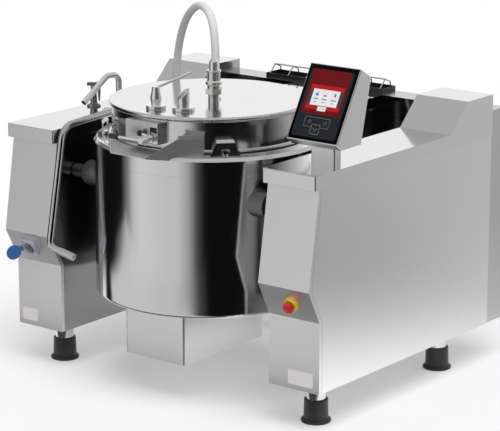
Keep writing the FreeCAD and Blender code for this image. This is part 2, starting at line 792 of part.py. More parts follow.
def burner_tubes():
    tubes = []
    for i in range(-3, 4):
        if i == 0:
            continue
        x = i * BURNER_SPACING
        half = math.sqrt(BURNER_CIRCLE ** 2 - x ** 2)
        tubes.append(tube(V(x, -half, BURNER_HEIGHT), V(0, 1, 0), BURNER_RADIUS, BURNER_RADIUS - THIN_SHEET, 2 * half))
    return tubes


def burner_rails():
    """Two channels on the jacket's bottom that carry the burner tubes."""
    low = JACKET_BOTTOM + SHEET
    high = BURNER_HEIGHT - BURNER_RADIUS
    reach = 3 * BURNER_SPACING + 12
    rails = []
    for y in (-RAIL_OFFSET, RAIL_OFFSET):
        outer = box(-reach, reach, y - RAIL_WIDTH / 2, y + RAIL_WIDTH / 2, low, high)
        inner = box(-reach - 1, reach + 1, y - RAIL_WIDTH / 2 + SHEET, y + RAIL_WIDTH / 2 - SHEET, low - 1, high - SHEET)
        rails.append(outer.cut(inner))
    return rails


def burners():
    """The burner tubes with the two rails they stand on."""
    return Part.makeCompound(burner_tubes() + burner_rails())


def drive_box():
    """Folded box under the vessel, with rounded upright corners, open at its top."""
    outline = rectangle(-DRIVE_BOX_HALF_WIDTH, DRIVE_BOX_HALF_WIDTH, DRIVE_BOX_FRONT, DRIVE_BOX_BACK)
    outer = floor_prism(outline, DRIVE_BOX_BOTTOM, JACKET_BOTTOM, radii=DRIVE_BOX_CORNER)
    inner = floor_prism(
        grown(outline, -SHEET), DRIVE_BOX_BOTTOM + SHEET, JACKET_BOTTOM + 1, radii=DRIVE_BOX_CORNER - SHEET
    )
    return outer.cut(inner)


def stirrer_gearbox():
    half = GEARBOX_HALF
    body = floor_prism(rectangle(-half, half, -half, half), GEARBOX_BOTTOM, JACKET_BOTTOM - 12, radii=16.0)
    flange = cylinder(V(0, 0, JACKET_BOTTOM - 14), V(0, 0, 1), half + 20, 14)
    bore = cylinder(V(0, 0, SHAFT_BOTTOM - 0.5), V(0, 0, 1), SHAFT_RADIUS + RUN_FIT, 200)
    return body.fuse(flange).cut(bore)


def finned_motor(base, direction, radius, length):
    """Drive motor: a round body with cooling fins along it and a smooth fan cowl at its end."""
    axis = V(direction).normalize()
    core = cylinder(base, axis, radius - 8, length * 0.72)
    cowl = cylinder(base + axis * (length * 0.72), axis, radius, length * 0.28)
    turn = FreeCAD.Rotation(V(0, 0, 1), axis)
    fins = []
    for i in range(FIN_COUNT):
        fin = box(radius - 12, radius - 1, -1.5, 1.5, 4, length * 0.72)
        fin.Placement = FreeCAD.Placement(base, turn * FreeCAD.Rotation(V(0, 0, 1), 360.0 * i / FIN_COUNT))
        fins.append(fin)
    return core.multiFuse([cowl] + fins)


def stirrer_drive():
    base = V(0, -GEARBOX_HALF + 1, MOTOR_AXIS_HEIGHT)
    motor = finned_motor(base, V(0, -1, 0), MOTOR_RADIUS, MOTOR_LENGTH)
    return stirrer_gearbox().fuse(motor)


def stirrer_shaft():
    return cylinder(V(0, 0, SHAFT_BOTTOM), V(0, 0, 1), SHAFT_RADIUS, HUB_TOP - 60 - SHAFT_BOTTOM)


def arm_section(radius, height, pitch, angle, low):
    """Blade section at a radius: a rectangle tipped by its pitch, standing on the scraper strip."""
    half = ARM_THICKNESS / 2
    corners = [(-half, 0), (half, 0), (half, height), (-half, height)]
    lean = math.radians(pitch)
    points = []
    for across, up in corners:
        side = across * math.cos(lean) - up * math.sin(lean)
        z = low + half * math.sin(lean) + across * math.sin(lean) + up * math.cos(lean)
        points.append(V(radius, side, z))
    wire = Part.makePolygon(points + [points[0]])
    wire.rotate(V(0, 0, 0), V(0, 0, 1), angle)
    return wire


def stirrer_arms():
    """Cast hub over the shaft tube, with twisted blades and one upright along the wall."""
    low = PAN_FLOOR + SCRAPER_CLEARANCE + 12
    hub = turned(
        [
            (SHAFT_TUBE_RADIUS + 2, low),
            (HUB_RADIUS, low),
            (HUB_RADIUS, low + 40),
            (SHAFT_RADIUS + 12, HUB_TOP - 40),
            (SHAFT_RADIUS + 12, HUB_TOP),
            (0, HUB_TOP),
            (0, HUB_TOP - 60),
            (SHAFT_RADIUS, HUB_TOP - 60),
            (SHAFT_RADIUS, SHAFT_TUBE_TOP + 4),
            (SHAFT_TUBE_RADIUS + 2, SHAFT_TUBE_TOP + 4),
        ],
        [0, 4, 20, 30, 18, 0, 0, 0, 0, 0],
    )
    reach = PAN_RADIUS - 28
    pieces = []
    for i in range(ARM_COUNT):
        angle = 360.0 * i / ARM_COUNT
        sections = [
            arm_section(HUB_RADIUS - 14, ARM_ROOT_HEIGHT, ARM_ROOT_PITCH, angle, low),
            arm_section((HUB_RADIUS + reach) / 2, (ARM_ROOT_HEIGHT + ARM_TIP_HEIGHT) / 2, (ARM_ROOT_PITCH + ARM_TIP_PITCH) / 2, angle, low),
            arm_section(reach, ARM_TIP_HEIGHT, ARM_TIP_PITCH, angle, low),
        ]
        pieces.append(Part.makeLoft(sections, True, False))
    upright = box(reach - ARM_THICKNESS, reach, -20, 4, low + 4, WALL_BLADE_TOP)
    pieces.append(upright)
    core = cylinder(V(0, 0, low - 1), V(0, 0, 1), SHAFT_TUBE_RADIUS + 2, SHAFT_TUBE_TOP + 5 - low)
    return hub.fuse([piece.cut(core) for piece in pieces]).removeSplitter()


def bottom_scrapers():
    """Plastic strips that slide close over the pan's floor."""
    top = PAN_FLOOR + SCRAPER_CLEARANCE + 12 - REST_GAP
    strips = []
    for i in range(ARM_COUNT):
        strip = box(
            HUB_RADIUS + 4, PAN_RADIUS - 40, -SCRAPER_THICKNESS / 2, SCRAPER_THICKNESS / 2, PAN_FLOOR + SCRAPER_CLEARANCE, top
        )
        strip.rotate(V(0, 0, 0), V(0, 0, 1), 360.0 * i / ARM_COUNT)
        strips.append(strip)
    return strips


def wall_scraper():
    """Plastic blade on the upright, bevelled towards the pan's wall."""
    inner = PAN_RADIUS - 28 + REST_GAP
    outer = PAN_RADIUS - SCRAPER_CLEARANCE - 1
    low = PAN_FLOOR + PAN_CORNER + 6
    outline = [(inner, -16), (inner, 2), (outer - 6, 2), (outer, -10), (outer - 2, -16)]
    return floor_prism(outline, low, WALL_BLADE_TOP)


def scrapers():
    return Part.makeCompound(bottom_scrapers() + [wall_scraper()])


def trunnion():
    """Hub welded to the jacket, and the shaft that turns in the column's bearing."""
    start = math.sqrt(JACKET_RADIUS ** 2 - TILT_Y ** 2)
    hub_end = start + TRUNNION_HUB_WIDTH
    hub = cylinder(V(start - 40, TILT_Y, TILT_Z), V(1, 0, 0), TRUNNION_HUB_RADIUS, 40 + TRUNNION_HUB_WIDTH)
    hub = rounded_along(hub, 4.0, lambda c: abs(c.x - hub_end) < 0.01)
    shaft = cylinder(V(hub_end - 5, TILT_Y, TILT_Z), V(1, 0, 0), TRUNNION_RADIUS, TRUNNION_END - hub_end + 5)
    drum = cylinder(V(0, 0, JACKET_BOTTOM), V(0, 0, 1), JACKET_RADIUS, JACKET_TOP - JACKET_BOTTOM)
    return hub.fuse(shaft).cut(drum)


def tilt_gearbox():
    """Worm gearbox on the left trunnion's end."""
    x0 = INNER_X + SHEET + 1 + POST + BEARING_PLATE + BEARING_LENGTH + 3
    half = TILT_GEARBOX_SIZE / 2
    outline = rectangle(TILT_Y - half, TILT_Y + half, TILT_Z - half, TILT_Z + half)
    body = side_prism(outline, x0, x0 + TILT_GEARBOX_WIDTH, radii=22.0)
    boss = cylinder(V(x0 - 3, TILT_Y, TILT_Z), V(1, 0, 0), BEARING_BOSS_RADIUS - 6, TILT_GEARBOX_WIDTH + 3)
    bore = cylinder(V(x0 - 5, TILT_Y, TILT_Z), V(1, 0, 0), TRUNNION_RADIUS + RUN_FIT, TILT_GEARBOX_WIDTH + 20)
    return mirrored(body.fuse(boss).cut(bore))


def tilt_drive():
    x = -(INNER_X + SHEET + 1 + POST + BEARING_PLATE + BEARING_LENGTH + 3 + TILT_GEARBOX_WIDTH / 2)
    base = V(x, TILT_Y, TILT_Z - TILT_GEARBOX_SIZE / 2 + 1)
    return tilt_gearbox().fuse(finned_motor(base, V(0, 0, -1), TILT_MOTOR_RADIUS, TILT_MOTOR_LENGTH))


def control_cabinet():
    x0 = INNER_X + 30
    x1 = OUTER_X - 30
    y0 = REAR_POST_Y - POST / 2 - 1 - CABINET_DEPTH
    y1 = REAR_POST_Y - POST / 2 - 1
    top = CABINET_BOTTOM + CABINET_HEIGHT
    outer = box(x0, x1, y0, y1, CABINET_BOTTOM, top)
    inner = box(x0 + SHEET, x1 - SHEET, y0 + SHEET, y1 - SHEET, CABINET_BOTTOM + SHEET, top - SHEET)
    return outer.cut(inner)


def pouring_spout():
    """Pouring chute on the rim: two splayed side walls with folded lips and a sloping floor."""
    rear = V(SPOUT_REAR_HALF_WIDTH, SPOUT_REAR_Y, 0)
    tip = V(SPOUT_TIP_HALF_WIDTH, SPOUT_TIP_Y, 0)
    along = tip - rear
    length = along.Length
    along.normalize()
    inward = V(along.y, -along.x, 0)
    if inward.x > 0:
        inward = inward * -1
    up = V(0, 0, 1)
    low = RIM_EDGE_TOP - 8
    outline = [
        (0, low),
        (length - SPOUT_NOSE, low),
        (length, SPOUT_TIP_HEIGHT - 4),
        (length, SPOUT_TIP_HEIGHT),
        (SPOUT_FLAT_LENGTH, SPOUT_WALL_TOP),
        (0, SPOUT_WALL_TOP),
    ]
    wall = rounded_face([rear + along * s + up * z for s, z in outline], 0.0).extrude(inward * SPOUT_SHEET)
    fold = [V(0, 0, 0), inward * SPOUT_SHEET, inward * (SPOUT_SHEET - 5) + up * SPOUT_LIP, inward * -5 + up * SPOUT_LIP]
    lip = rounded_face([rear + up * SPOUT_WALL_TOP + p for p in fold], 0.0).extrude(along * (SPOUT_FLAT_LENGTH - 3))
    side = wall.fuse(lip)
    slope = (RIM_TOP - RIM_EDGE_TOP) / (RIM_RADIUS - RIM_SEAT_RADIUS)
    y_seat = -RIM_SEAT_RADIUS
    floor_line = [
        (SPOUT_REAR_Y, RIM_TOP + 0.2 + slope * (SPOUT_REAR_Y - y_seat)),
        (SPOUT_TIP_Y, RIM_TOP + 0.2 + slope * (SPOUT_TIP_Y - y_seat)),
    ]
    floor_line += [(y, z + SPOUT_SHEET) for y, z in floor_line[::-1]]
    floor = side_prism(floor_line, -SPOUT_REAR_HALF_WIDTH, SPOUT_REAR_HALF_WIDTH)
    plan = [
        (-SPOUT_REAR_HALF_WIDTH + 1, SPOUT_REAR_Y),
        (SPOUT_REAR_HALF_WIDTH - 1, SPOUT_REAR_Y),
        (SPOUT_TIP_HALF_WIDTH - 1, SPOUT_TIP_Y),
        (-SPOUT_TIP_HALF_WIDTH + 1, SPOUT_TIP_Y),
    ]
    floor = floor.common(floor_prism(plan, low, WORKTOP + 60))
    lid_room = cylinder(V(0, 0, low - 20), up, LID_FLANGE_RADIUS + 3, 200)
    drum = cylinder(V(0, 0, low - 20), up, RIM_RADIUS, 20 + RIM_EDGE_TOP - low)
    chute = side.fuse([mirrored(side), floor]).cut(lid_room.fuse([drum, rim_solid()]))
    return chute.removeSplitter()


def rim_solid():
    """Everything under the rim's top surface, for trimming what stands on it."""
    outline = [
        (0, JACKET_TOP),
        (RIM_RADIUS, JACKET_TOP),
        (RIM_RADIUS, RIM_EDGE_TOP - RIM_BEVEL),
        (RIM_RADIUS - RIM_BEVEL, RIM_EDGE_TOP),
        (RIM_SEAT_RADIUS, RIM_TOP),
        (0, RIM_TOP),
    ]
    return turned(outline)


def rim_lug():
    """Folded lug: a trapezoid front with a bolt hole, a bevel and a flat top, made facing -Y."""
    t = LUG_SHEET
    low = RIM_EDGE_TOP - 2
    top = RIM_EDGE_TOP + LUG_HEIGHT
    lug_y = -LUG_RADIUS
    line = [(lug_y, low), (lug_y, top), (lug_y + LUG_BEVEL, top + LUG_BEVEL), (-LUG_BACK_RADIUS - 6, top + LUG_BEVEL)]
    back = [(-LUG_BACK_RADIUS - 6, top + LUG_BEVEL - t), (lug_y + LUG_BEVEL + 1, top + LUG_BEVEL - t), (lug_y + t, top - 1), (lug_y + t, low)]
    folded = side_prism(line + back, -LUG_BASE_WIDTH / 2, LUG_BASE_WIDTH / 2)
    half = LUG_TOP_WIDTH / 2
    view = [(-LUG_BASE_WIDTH / 2, low), (LUG_BASE_WIDTH / 2, low), (half, top + LUG_BEVEL), (-half, top + LUG_BEVEL)]
    folded = folded.common(front_prism(view, lug_y - 10, 0))
    hole = cylinder(V(0, lug_y - 5, RIM_EDGE_TOP + LUG_BOLT_HEIGHT + 2), V(0, 1, 0), LUG_HOLE_RADIUS, 12)
    return folded.cut(hole).cut(rim_solid())


def lug_bolt():
    """Hexagon bolt seated on the rim under the lug."""
    y = -LUG_RADIUS + 14
    seat = RIM_TOP + (y + RIM_SEAT_RADIUS) * (RIM_TOP - RIM_EDGE_TOP) / (RIM_RADIUS - RIM_SEAT_RADIUS)
    head = hexagon_bar(V(0, y, seat + 4), V(0, 0, 1), 11.0, 9.0)
    washer = cylinder(V(0, y, seat - 3), V(0, 0, 1), 10.0, 7.5)
    return head.fuse(washer).cut(rim_solid())


def around(shape, angle):
    copy = shape.copy()
    copy.rotate(V(0, 0, 0), V(0, 0, 1), angle)
    return copy


def on_both_lugs(shape):
    turn = 90 - LUG_ANGLE
    return Part.makeCompound([around(shape, turn), around(shape, -turn)])


def lid_shell():
    r = LID_SKIRT_RADIUS
    t = LID_SHEET
    flange_top = LID_BOTTOM + LID_FLANGE_THICKNESS
    outline = [
        (r - t, LID_BOTTOM),
        (LID_FLANGE_RADIUS, LID_BOTTOM),
        (LID_FLANGE_RADIUS, flange_top),
        (r, flange_top),
        (r, LID_BEAD_BOTTOM),
        (LID_FLANGE_RADIUS, LID_BEAD_BOTTOM),
        (LID_FLANGE_RADIUS, LID_TOP),
        (0, LID_TOP),
        (0, LID_TOP - LID_TOP_PLATE),
        (r - t, LID_TOP - LID_TOP_PLATE),
    ]
    return turned(outline, [0, 1.5, 1.5, 4, 4, 5, LID_BEAD_RADIUS, 0, 0, 8])


def lid_gasket():
    outer = LID_FLANGE_RADIUS - 0.5
    inner = RIM_SEAT_RADIUS - 14
    return turned([(inner, GASKET_BOTTOM), (outer, GASKET_BOTTOM), (outer, LID_BOTTOM), (inner, LID_BOTTOM)])


def cheek(x):
    """Hinge plate from the vessel's back up to the lid's shaft."""
    surface = math.sqrt(JACKET_RADIUS ** 2 - x ** 2)
    low = RIM_EDGE_TOP - 24 - CHEEK_HEIGHT
    outline = [(surface - 40, low), (surface + 4, low), (HINGE_Y + HINGE_BOSS_RADIUS - 5, HINGE_Z - 30), (HINGE_Y, HINGE_Z), (RIM_RADIUS + 12, HINGE_Z - 34), (RIM_RADIUS + 8, RIM_EDGE_TOP - 20), (surface - 40, RIM_EDGE_TOP - 20)]
    plate = side_prism(outline, x - CHEEK_THICKNESS / 2, x + CHEEK_THICKNESS / 2)
    boss = cylinder(V(x - CHEEK_THICKNESS / 2, HINGE_Y, HINGE_Z), V(1, 0, 0), HINGE_BOSS_RADIUS, CHEEK_THICKNESS)
    bore = cylinder(V(x - CHEEK_THICKNESS, HINGE_Y, HINGE_Z), V(1, 0, 0), HINGE_SHAFT_RADIUS + RUN_FIT, 2 * CHEEK_THICKNESS)
    drum = cylinder(V(0, 0, 0), V(0, 0, 1), JACKET_RADIUS, WORKTOP)
    rim_room = cylinder(V(0, 0, JACKET_TOP - 1), V(0, 0, 1), RIM_RADIUS, 60)
    return plate.fuse(boss).cut(bore).cut(drum.fuse(rim_room))


def hinge_shaft():
    """Shaft that the lid and its lever turn with."""
    right = CHEEK_X[-1] + CHEEK_THICKNESS / 2 + 8
    shaft = cylinder(V(LEVER_X, HINGE_Y, HINGE_Z), V(1, 0, 0), HINGE_SHAFT_RADIUS, right - LEVER_X)
    boss = cylinder(V(LEVER_X - 15, HINGE_Y, HINGE_Z), V(1, 0, 0), HINGE_BOSS_RADIUS - 4, 34)
    return shaft.fuse(boss)


def lid_arm():
    """Arm from the lid's skirt to the hinge shaft."""
    rear = math.sqrt(LID_SKIRT_RADIUS ** 2 - LID_ARM_X ** 2)
    low = LID_BOTTOM + 14
    outline = [
        (rear - 30, low),
        (HINGE_Y, HINGE_Z - HINGE_BOSS_RADIUS + 1),
        (HINGE_Y + HINGE_BOSS_RADIUS - 1, HINGE_Z),
        (HINGE_Y - 6, HINGE_Z + HINGE_BOSS_RADIUS - 1),
        (rear - 30, LID_BEAD_BOTTOM - 12),
    ]
    x0 = LID_ARM_X - LID_ARM_THICKNESS / 2
    plate = side_prism(outline, x0, x0 + LID_ARM_THICKNESS)
    boss = cylinder(V(x0 - 4, HINGE_Y, HINGE_Z), V(1, 0, 0), HINGE_BOSS_RADIUS, LID_ARM_THICKNESS + 8)
    skirt = cylinder(V(0, 0, LID_BOTTOM), V(0, 0, 1), LID_SKIRT_RADIUS, LID_TOP - LID_BOTTOM)
    return plate.fuse(boss).cut(skirt)


def lid_hinge():
    """The hinge shaft with both arms welded to it."""
    return hinge_shaft().fuse([lid_arm(), mirrored(lid_arm())])


def lid_lever():
    """Bent tube beside the vessel, from the hinge shaft's end down to the operator's round grip."""
    start = V(LEVER_X, HINGE_Y - HINGE_BOSS_RADIUS + 4, HINGE_Z - 1)
    points = [
        start,
        V(LEVER_X, LEVER_TOP_Y, LEVER_TOP_Z),
        V(LEVER_X, LEVER_LOW_Y, LEVER_LOW_Z),
        V(GRIP_END_X - GRIP_LENGTH, GRIP_Y, GRIP_Z),
    ]
    bent = swept_tube(points, [0, LEVER_TOP_BEND, LEVER_LOW_BEND, 0], LEVER_RADIUS, LEVER_WALL)
    boss = cylinder(V(LEVER_X - 20, HINGE_Y, HINGE_Z), V(1, 0, 0), HINGE_BOSS_RADIUS - 4, 60)
    grip = cylinder(points[-1], points[-1] - points[-2], GRIP_RADIUS, GRIP_LENGTH)
    tip = points[-1] + (points[-1] - points[-2]).normalize() * GRIP_LENGTH
    grip = rounded_along(grip, 4.0, lambda c: (c - tip).Length < 0.5)
    return bent.cut(boss).fuse(grip)


def lock_box():
    """Folded cover on the lid's skirt, with a window for the lock and its bush inside."""
    outline = rectangle(LOCK_BOX_LEFT, LOCK_BOX_RIGHT, LOCK_BOX_BOTTOM, LOCK_BOX_TOP)
    outer = front_prism(outline, LOCK_BOX_FRONT, -LID_SKIRT_RADIUS + 60)
    outer = rounded_along(outer, 4.0, lambda c: abs(c.y - LOCK_BOX_FRONT) < 0.01)
    t = LID_SHEET
    inner = box(
        LOCK_BOX_LEFT + t, LOCK_BOX_RIGHT - t, LOCK_BOX_FRONT + t, 0, LOCK_BOX_BOTTOM - 1, LOCK_BOX_TOP - t
    )
    window = rectangle(
        LOCK_X - LOCK_WINDOW_WIDTH / 2, LOCK_X + LOCK_WINDOW_WIDTH / 2 - 3, LOCK_Z - LOCK_WINDOW_HEIGHT / 2 + 6, LOCK_Z + LOCK_WINDOW_HEIGHT / 2 + 6
    )
    skirt = cylinder(V(0, 0, LID_BOTTOM), V(0, 0, 1), LID_SKIRT_RADIUS, LID_TOP - LID_BOTTOM)
    shell = outer.cut(inner).cut(front_prism(window, LOCK_BOX_FRONT - 1, LOCK_BOX_FRONT + 10))
    return shell.fuse(lock_bush()).cut(skirt)


def lock_bush():
    """Block behind the window that carries the lock's spindle."""
    y0 = LOCK_BOX_FRONT + LID_SHEET + 1
    block = box(LOCK_X - 15, LOCK_BOX_RIGHT - 1, y0, -320, LOCK_Z - 15, LOCK_Z + 15)
    return block.cut(cylinder(V(LOCK_X, y0 - 1, LOCK_Z), V(0, 1, 0), LOCK_SPINDLE_RADIUS + RUN_FIT, 30))


def lock_spindle():
    """Spindle with its long lever rod and the short arm of the ball."""
    depth = LOCK_BOX_FRONT + LID_SHEET + 28 - LOCK_TIP_Y
    spindle = cylinder(V(LOCK_X, LOCK_TIP_Y, LOCK_Z), V(0, 1, 0), LOCK_SPINDLE_RADIUS, depth)
    rod = cylinder(V(LOCK_X, LOCK_ROD_Y, LOCK_Z), V(-1, 0, 0), LOCK_ROD_RADIUS, LOCK_ROD_REACH - LOCK_GRIP_LENGTH / 2)
    arm_z = LOCK_Z + 12
    arm = cylinder(V(LOCK_X - 4, LOCK_BALL_Y, arm_z - 8), V(-1, 0, 0.2), LOCK_ROD_RADIUS - 0.5, LOCK_BALL_REACH - 12)
    collar = cylinder(V(LOCK_X, LOCK_BALL_Y - 7, LOCK_Z), V(0, 1, 0), LOCK_SPINDLE_RADIUS + 4, 14)
    return spindle.fuse([rod, arm, collar])


def lock_grip():
    start = V(LOCK_X - LOCK_ROD_REACH + LOCK_GRIP_LENGTH / 2, LOCK_ROD_Y, LOCK_Z)
    grip = cylinder(start, V(-1, 0, 0), LOCK_GRIP_RADIUS, LOCK_GRIP_LENGTH)
    return rounded_along(grip, 3.0, lambda c: True)


def lock_ball():
    """Ball knob with the small flat by which it stands on its arm."""
    arm_start = V(LOCK_X - 4, LOCK_BALL_Y, LOCK_Z + 4)
    direction = V(-1, 0, 0.2).normalize()
    flat = LOCK_BALL_RADIUS * math.sin(math.radians(55))
    centre = arm_start + direction * (LOCK_BALL_REACH - 12 + flat)
    return Part.makeSphere(LOCK_BALL_RADIUS, centre, direction, -55, 90, 360)


def valve_body():
    """Body of the lever valve: flange and tapered barrel."""
    z = LID_TOP
    outline = [
        (0, z),
        (VALVE_FLANGE_RADIUS, z),
        (VALVE_FLANGE_RADIUS, z + VALVE_FLANGE_THICKNESS),
        (16, z + VALVE_FLANGE_THICKNESS),
        (20, z + 36),
        (14, VALVE_BARREL_TOP - 1),
        (0, VALVE_BARREL_TOP - 1),
    ]
    return turned(outline, [0, 2, 2, 3, 12, 0, 0], LEVER_VALVE)


def valve_lever():
    """Cap that turns on the barrel, with its rod."""
    z = VALVE_BARREL_TOP - 1 + REST_GAP
    cap = turned([(0, z), (14, z), (13, z + 10), (0, z + 10)], [0, 0, 3, 0], LEVER_VALVE)
    rod = cylinder(V(LEVER_VALVE[0], LEVER_VALVE[1], z + 5), V(*VALVE_ROD_VECTOR), VALVE_ROD_RADIUS, V(*VALVE_ROD_VECTOR).Length)
    return cap.fuse(rod)


def vent_pipe():
    """Short steam vent: a flanged pipe with its top cut on a slant."""
    x, y = VENT
    z = LID_TOP
    flange = turned(
        [(0, z), (VENT_FLANGE_RADIUS, z), (VENT_FLANGE_RADIUS, z + VALVE_FLANGE_THICKNESS), (0, z + VALVE_FLANGE_THICKNESS)],
        [0, 2, 2, 0],
        VENT,
    )
    pipe = cylinder(V(x, y, z), V(0, 0, 1), VENT_PIPE_RADIUS, VENT_PIPE_HIGH)
    hollow = cylinder(V(x, y, z + 4), V(0, 0, 1), VENT_PIPE_RADIUS - VENT_PIPE_WALL, VENT_PIPE_HIGH)
    r = VENT_PIPE_RADIUS
    rise = (VENT_PIPE_HIGH - VENT_PIPE_LOW) / (2 * r)
    slant = front_prism([(-r - 2, z + VENT_PIPE_LOW - 2 * rise), (r + 2, z + VENT_PIPE_HIGH + 2 * rise), (-r - 2, z + 150)], -30, 30)
    slant.rotate(V(0, 0, 0), V(0, 0, 1), VENT_SLANT_TURN)
    slant.translate(V(x, y, 0))
    return flange.fuse(pipe).cut(hollow.fuse(slant))


def safety_valve():
    """Stem, hexagon and turned body with rings and a domed cap."""
    z = LID_TOP
    body = turned(
        [
            (0, z),
            (20, z),
            (20, z + 29),
            (23, z + 48),
            (23, z + 60),
            (29, z + 62),
            (29, z + 72),
            (23.5, z + 75),
            (23.5, z + 106),
            (25.5, z + 106),
            (25.5, z + 112),
            (16.5, z + 112),
            (16.5, z + 140),
            (7, z + 156),
            (0, z + 156),
        ],
        [0, 0, 2, 2, 2, 2, 4, 4, 0, 2, 2, 0, 12, 5, 0],
        SAFETY_VALVE,
    )
    nut = hexagon_bar(V(SAFETY_VALVE[0], SAFETY_VALVE[1], z + 29), V(0, 0, 1), SAFETY_NUT_RADIUS, 19.0)
    return body.fuse(nut)


def hose_bends():
    """Radius at each point of the hose's route: 0.45 of the shorter run over the tangent of half the turn."""
    points = [V(*p) for p in HOSE_ROUTE]
    radii = [0.0]
    for i in range(1, len(points) - 1):
        back = points[i - 1] - points[i]
        ahead = points[i + 1] - points[i]
        half_turn = (math.pi - back.getAngle(ahead)) / 2
        radii.append(0.45 * min(back.Length, ahead.Length) / math.tan(half_turn))
    return radii + [0.0]


def vent_hose():
    points = [V(*p) for p in HOSE_ROUTE]
    return swept_tube(points, hose_bends(), HOSE_RADIUS, HOSE_WALL)


def hose_foot():
    """Flanged tail on the lid's top, pushed into the hose's lower end."""
    x, y, z = HOSE_ROUTE[0]
    tail = HOSE_RADIUS - HOSE_WALL - REST_GAP
    outline = [
        (0, LID_TOP),
        (HOSE_RADIUS + 6, LID_TOP),
        (HOSE_RADIUS + 6, LID_TOP + 6),
        (HOSE_RADIUS, LID_TOP + 10),
        (HOSE_RADIUS, z - REST_GAP),
        (tail, z - REST_GAP),
        (tail, z + HOSE_TAIL),
        (0, z + HOSE_TAIL),
    ]
    return turned(outline, [0, 2, 2, 3, 2, 0, 1, 0], (x, y))


def hose_elbow():
    """Elbow that leads the hose's upper end into the lid's skirt."""
    end = V(*HOSE_ROUTE[-1])
    inward = V(-end.x, -end.y, 0).normalize()
    down = (end - V(*HOSE_ROUTE[-2])).normalize()
    drop = end + down * 34
    reach = V(end.x, end.y, 0).Length - LID_SKIRT_RADIUS + 30
    tail = HOSE_RADIUS - HOSE_WALL - REST_GAP
    bar = swept_tube([end - down * HOSE_TAIL, drop, drop + inward * reach], [0, ELBOW_BEND, 0], tail)
    collar = cylinder(end + down * REST_GAP, down, HOSE_RADIUS + 2, 6)
    skirt = cylinder(V(0, 0, LID_BOTTOM), V(0, 0, 1), LID_SKIRT_RADIUS, LID_TOP - LID_BOTTOM)
    return bar.fuse(collar).cut(skirt)


def hose_fittings():
    return Part.makeCompound([hose_foot(), hose_elbow()])


def tap_body():
    """Water valve on the left worktop."""
    x, y = TAP_VALVE
    outline = [
        (0, WORKTOP),
        (15, WORKTOP),
        (13, WORKTOP + 18),
        (TAP_COLLAR_RADIUS, WORKTOP + 22),
        (TAP_COLLAR_RADIUS, WORKTOP + 34),
        (TAP_BODY_RADIUS + 3, WORKTOP + 40),
        (TAP_BODY_RADIUS, TAP_TOP - 4),
        (0, TAP_TOP - 4),
    ]
    return turned(outline, [0, 0, 2, 4, 4, 4, 0, 0], (x, y))


def tap_handle():
    """Turning cap with a bar, and a drop-shaped lever at the bar's end."""
    x, y = TAP_VALVE
    z = TAP_TOP - 4 + REST_GAP
    turn = FreeCAD.Rotation(V(0, 0, 1), 38.0)
    bar_direction = turn.multVec(V(1, 0, 0))
    start = V(x, y, z + 10) - bar_direction * TAP_HANDLE_REACH
    bar = cylinder(start, bar_direction, 7.0, 2 * TAP_HANDLE_REACH)
    bar = rounded_along(bar, 2.5, lambda c: True)
    cap = cylinder(V(x, y, z), V(0, 0, 1), TAP_BODY_RADIUS + 1, 10)
    tip = V(x, y, 0) + bar_direction * (TAP_HANDLE_REACH - 4)
    drop = turned([(0, z + 8), (4, z + 8), (6, z - 14), (3, z - TAP_HANDLE_DROP), (0, z - TAP_HANDLE_DROP - 2)], [0, 0, 14, 2, 0], (tip.x, tip.y))
    return cap.fuse([bar, drop])


def tap_spout():
    """Swivelling spout pipe."""
    x = SPOUT_PIPE_X
    base = WORKTOP + TAP_BASE_HEIGHT + REST_GAP
    points = [
        V(x, SPOUT_PIPE_Y, base),
        V(x, SPOUT_PIPE_Y - 2, SPOUT_PIPE_TOP - 12),
        V(x, SPOUT_PIPE_Y - 66, SPOUT_PIPE_TOP - 10),
        V(x, SPOUT_PIPE_END_Y, SPOUT_PIPE_END_Z),
    ]
    return swept_tube(points, [0, 32.0, 34.0, 0], SPOUT_PIPE_RADIUS, 1.5)


def tap_base():
    """Socket on the worktop that the spout turns in."""
    z = WORKTOP
    top = WORKTOP + TAP_BASE_HEIGHT
    return turned(
        [(0, z), (TAP_BASE_RADIUS, z), (TAP_BASE_RADIUS, z + 8), (SPOUT_PIPE_RADIUS + 3, top), (0, top)],
        [0, 2, 2, 2, 0],
        (SPOUT_PIPE_X, SPOUT_PIPE_Y),
    )


def tap_hole_plug():
    """Domed plug in the second tap hole."""
    x, y = PLUG_POSITION
    return turned([(0, WORKTOP), (PLUG_RADIUS, WORKTOP), (PLUG_RADIUS, WORKTOP + 5), (8, WORKTOP + 17), (0, WORKTOP + 17)], [0, 0, 3, 12, 0], (x, y))


def display_outline():
    return [DISPLAY_TOP_FRONT, DISPLAY_LOW_FRONT, DISPLAY_LOW_BOTTOM, DISPLAY_LOW_BACK, DISPLAY_TOP_BACK]


def display_housing():
    outline = display_outline()
    outer = side_prism(outline, DISPLAY_LEFT, DISPLAY_RIGHT)
    outer = rounded_along(outer, 3.0, lambda c: abs(c.x - DISPLAY_RIGHT) < 0.01 or abs(c.x - DISPLAY_LEFT) < 0.01)
    inner = side_prism(grown(outline, -DISPLAY_SHEET), DISPLAY_LEFT + DISPLAY_SHEET, DISPLAY_RIGHT - DISPLAY_SHEET)
    return outer.cut(inner).cut(screen_block(0.2))


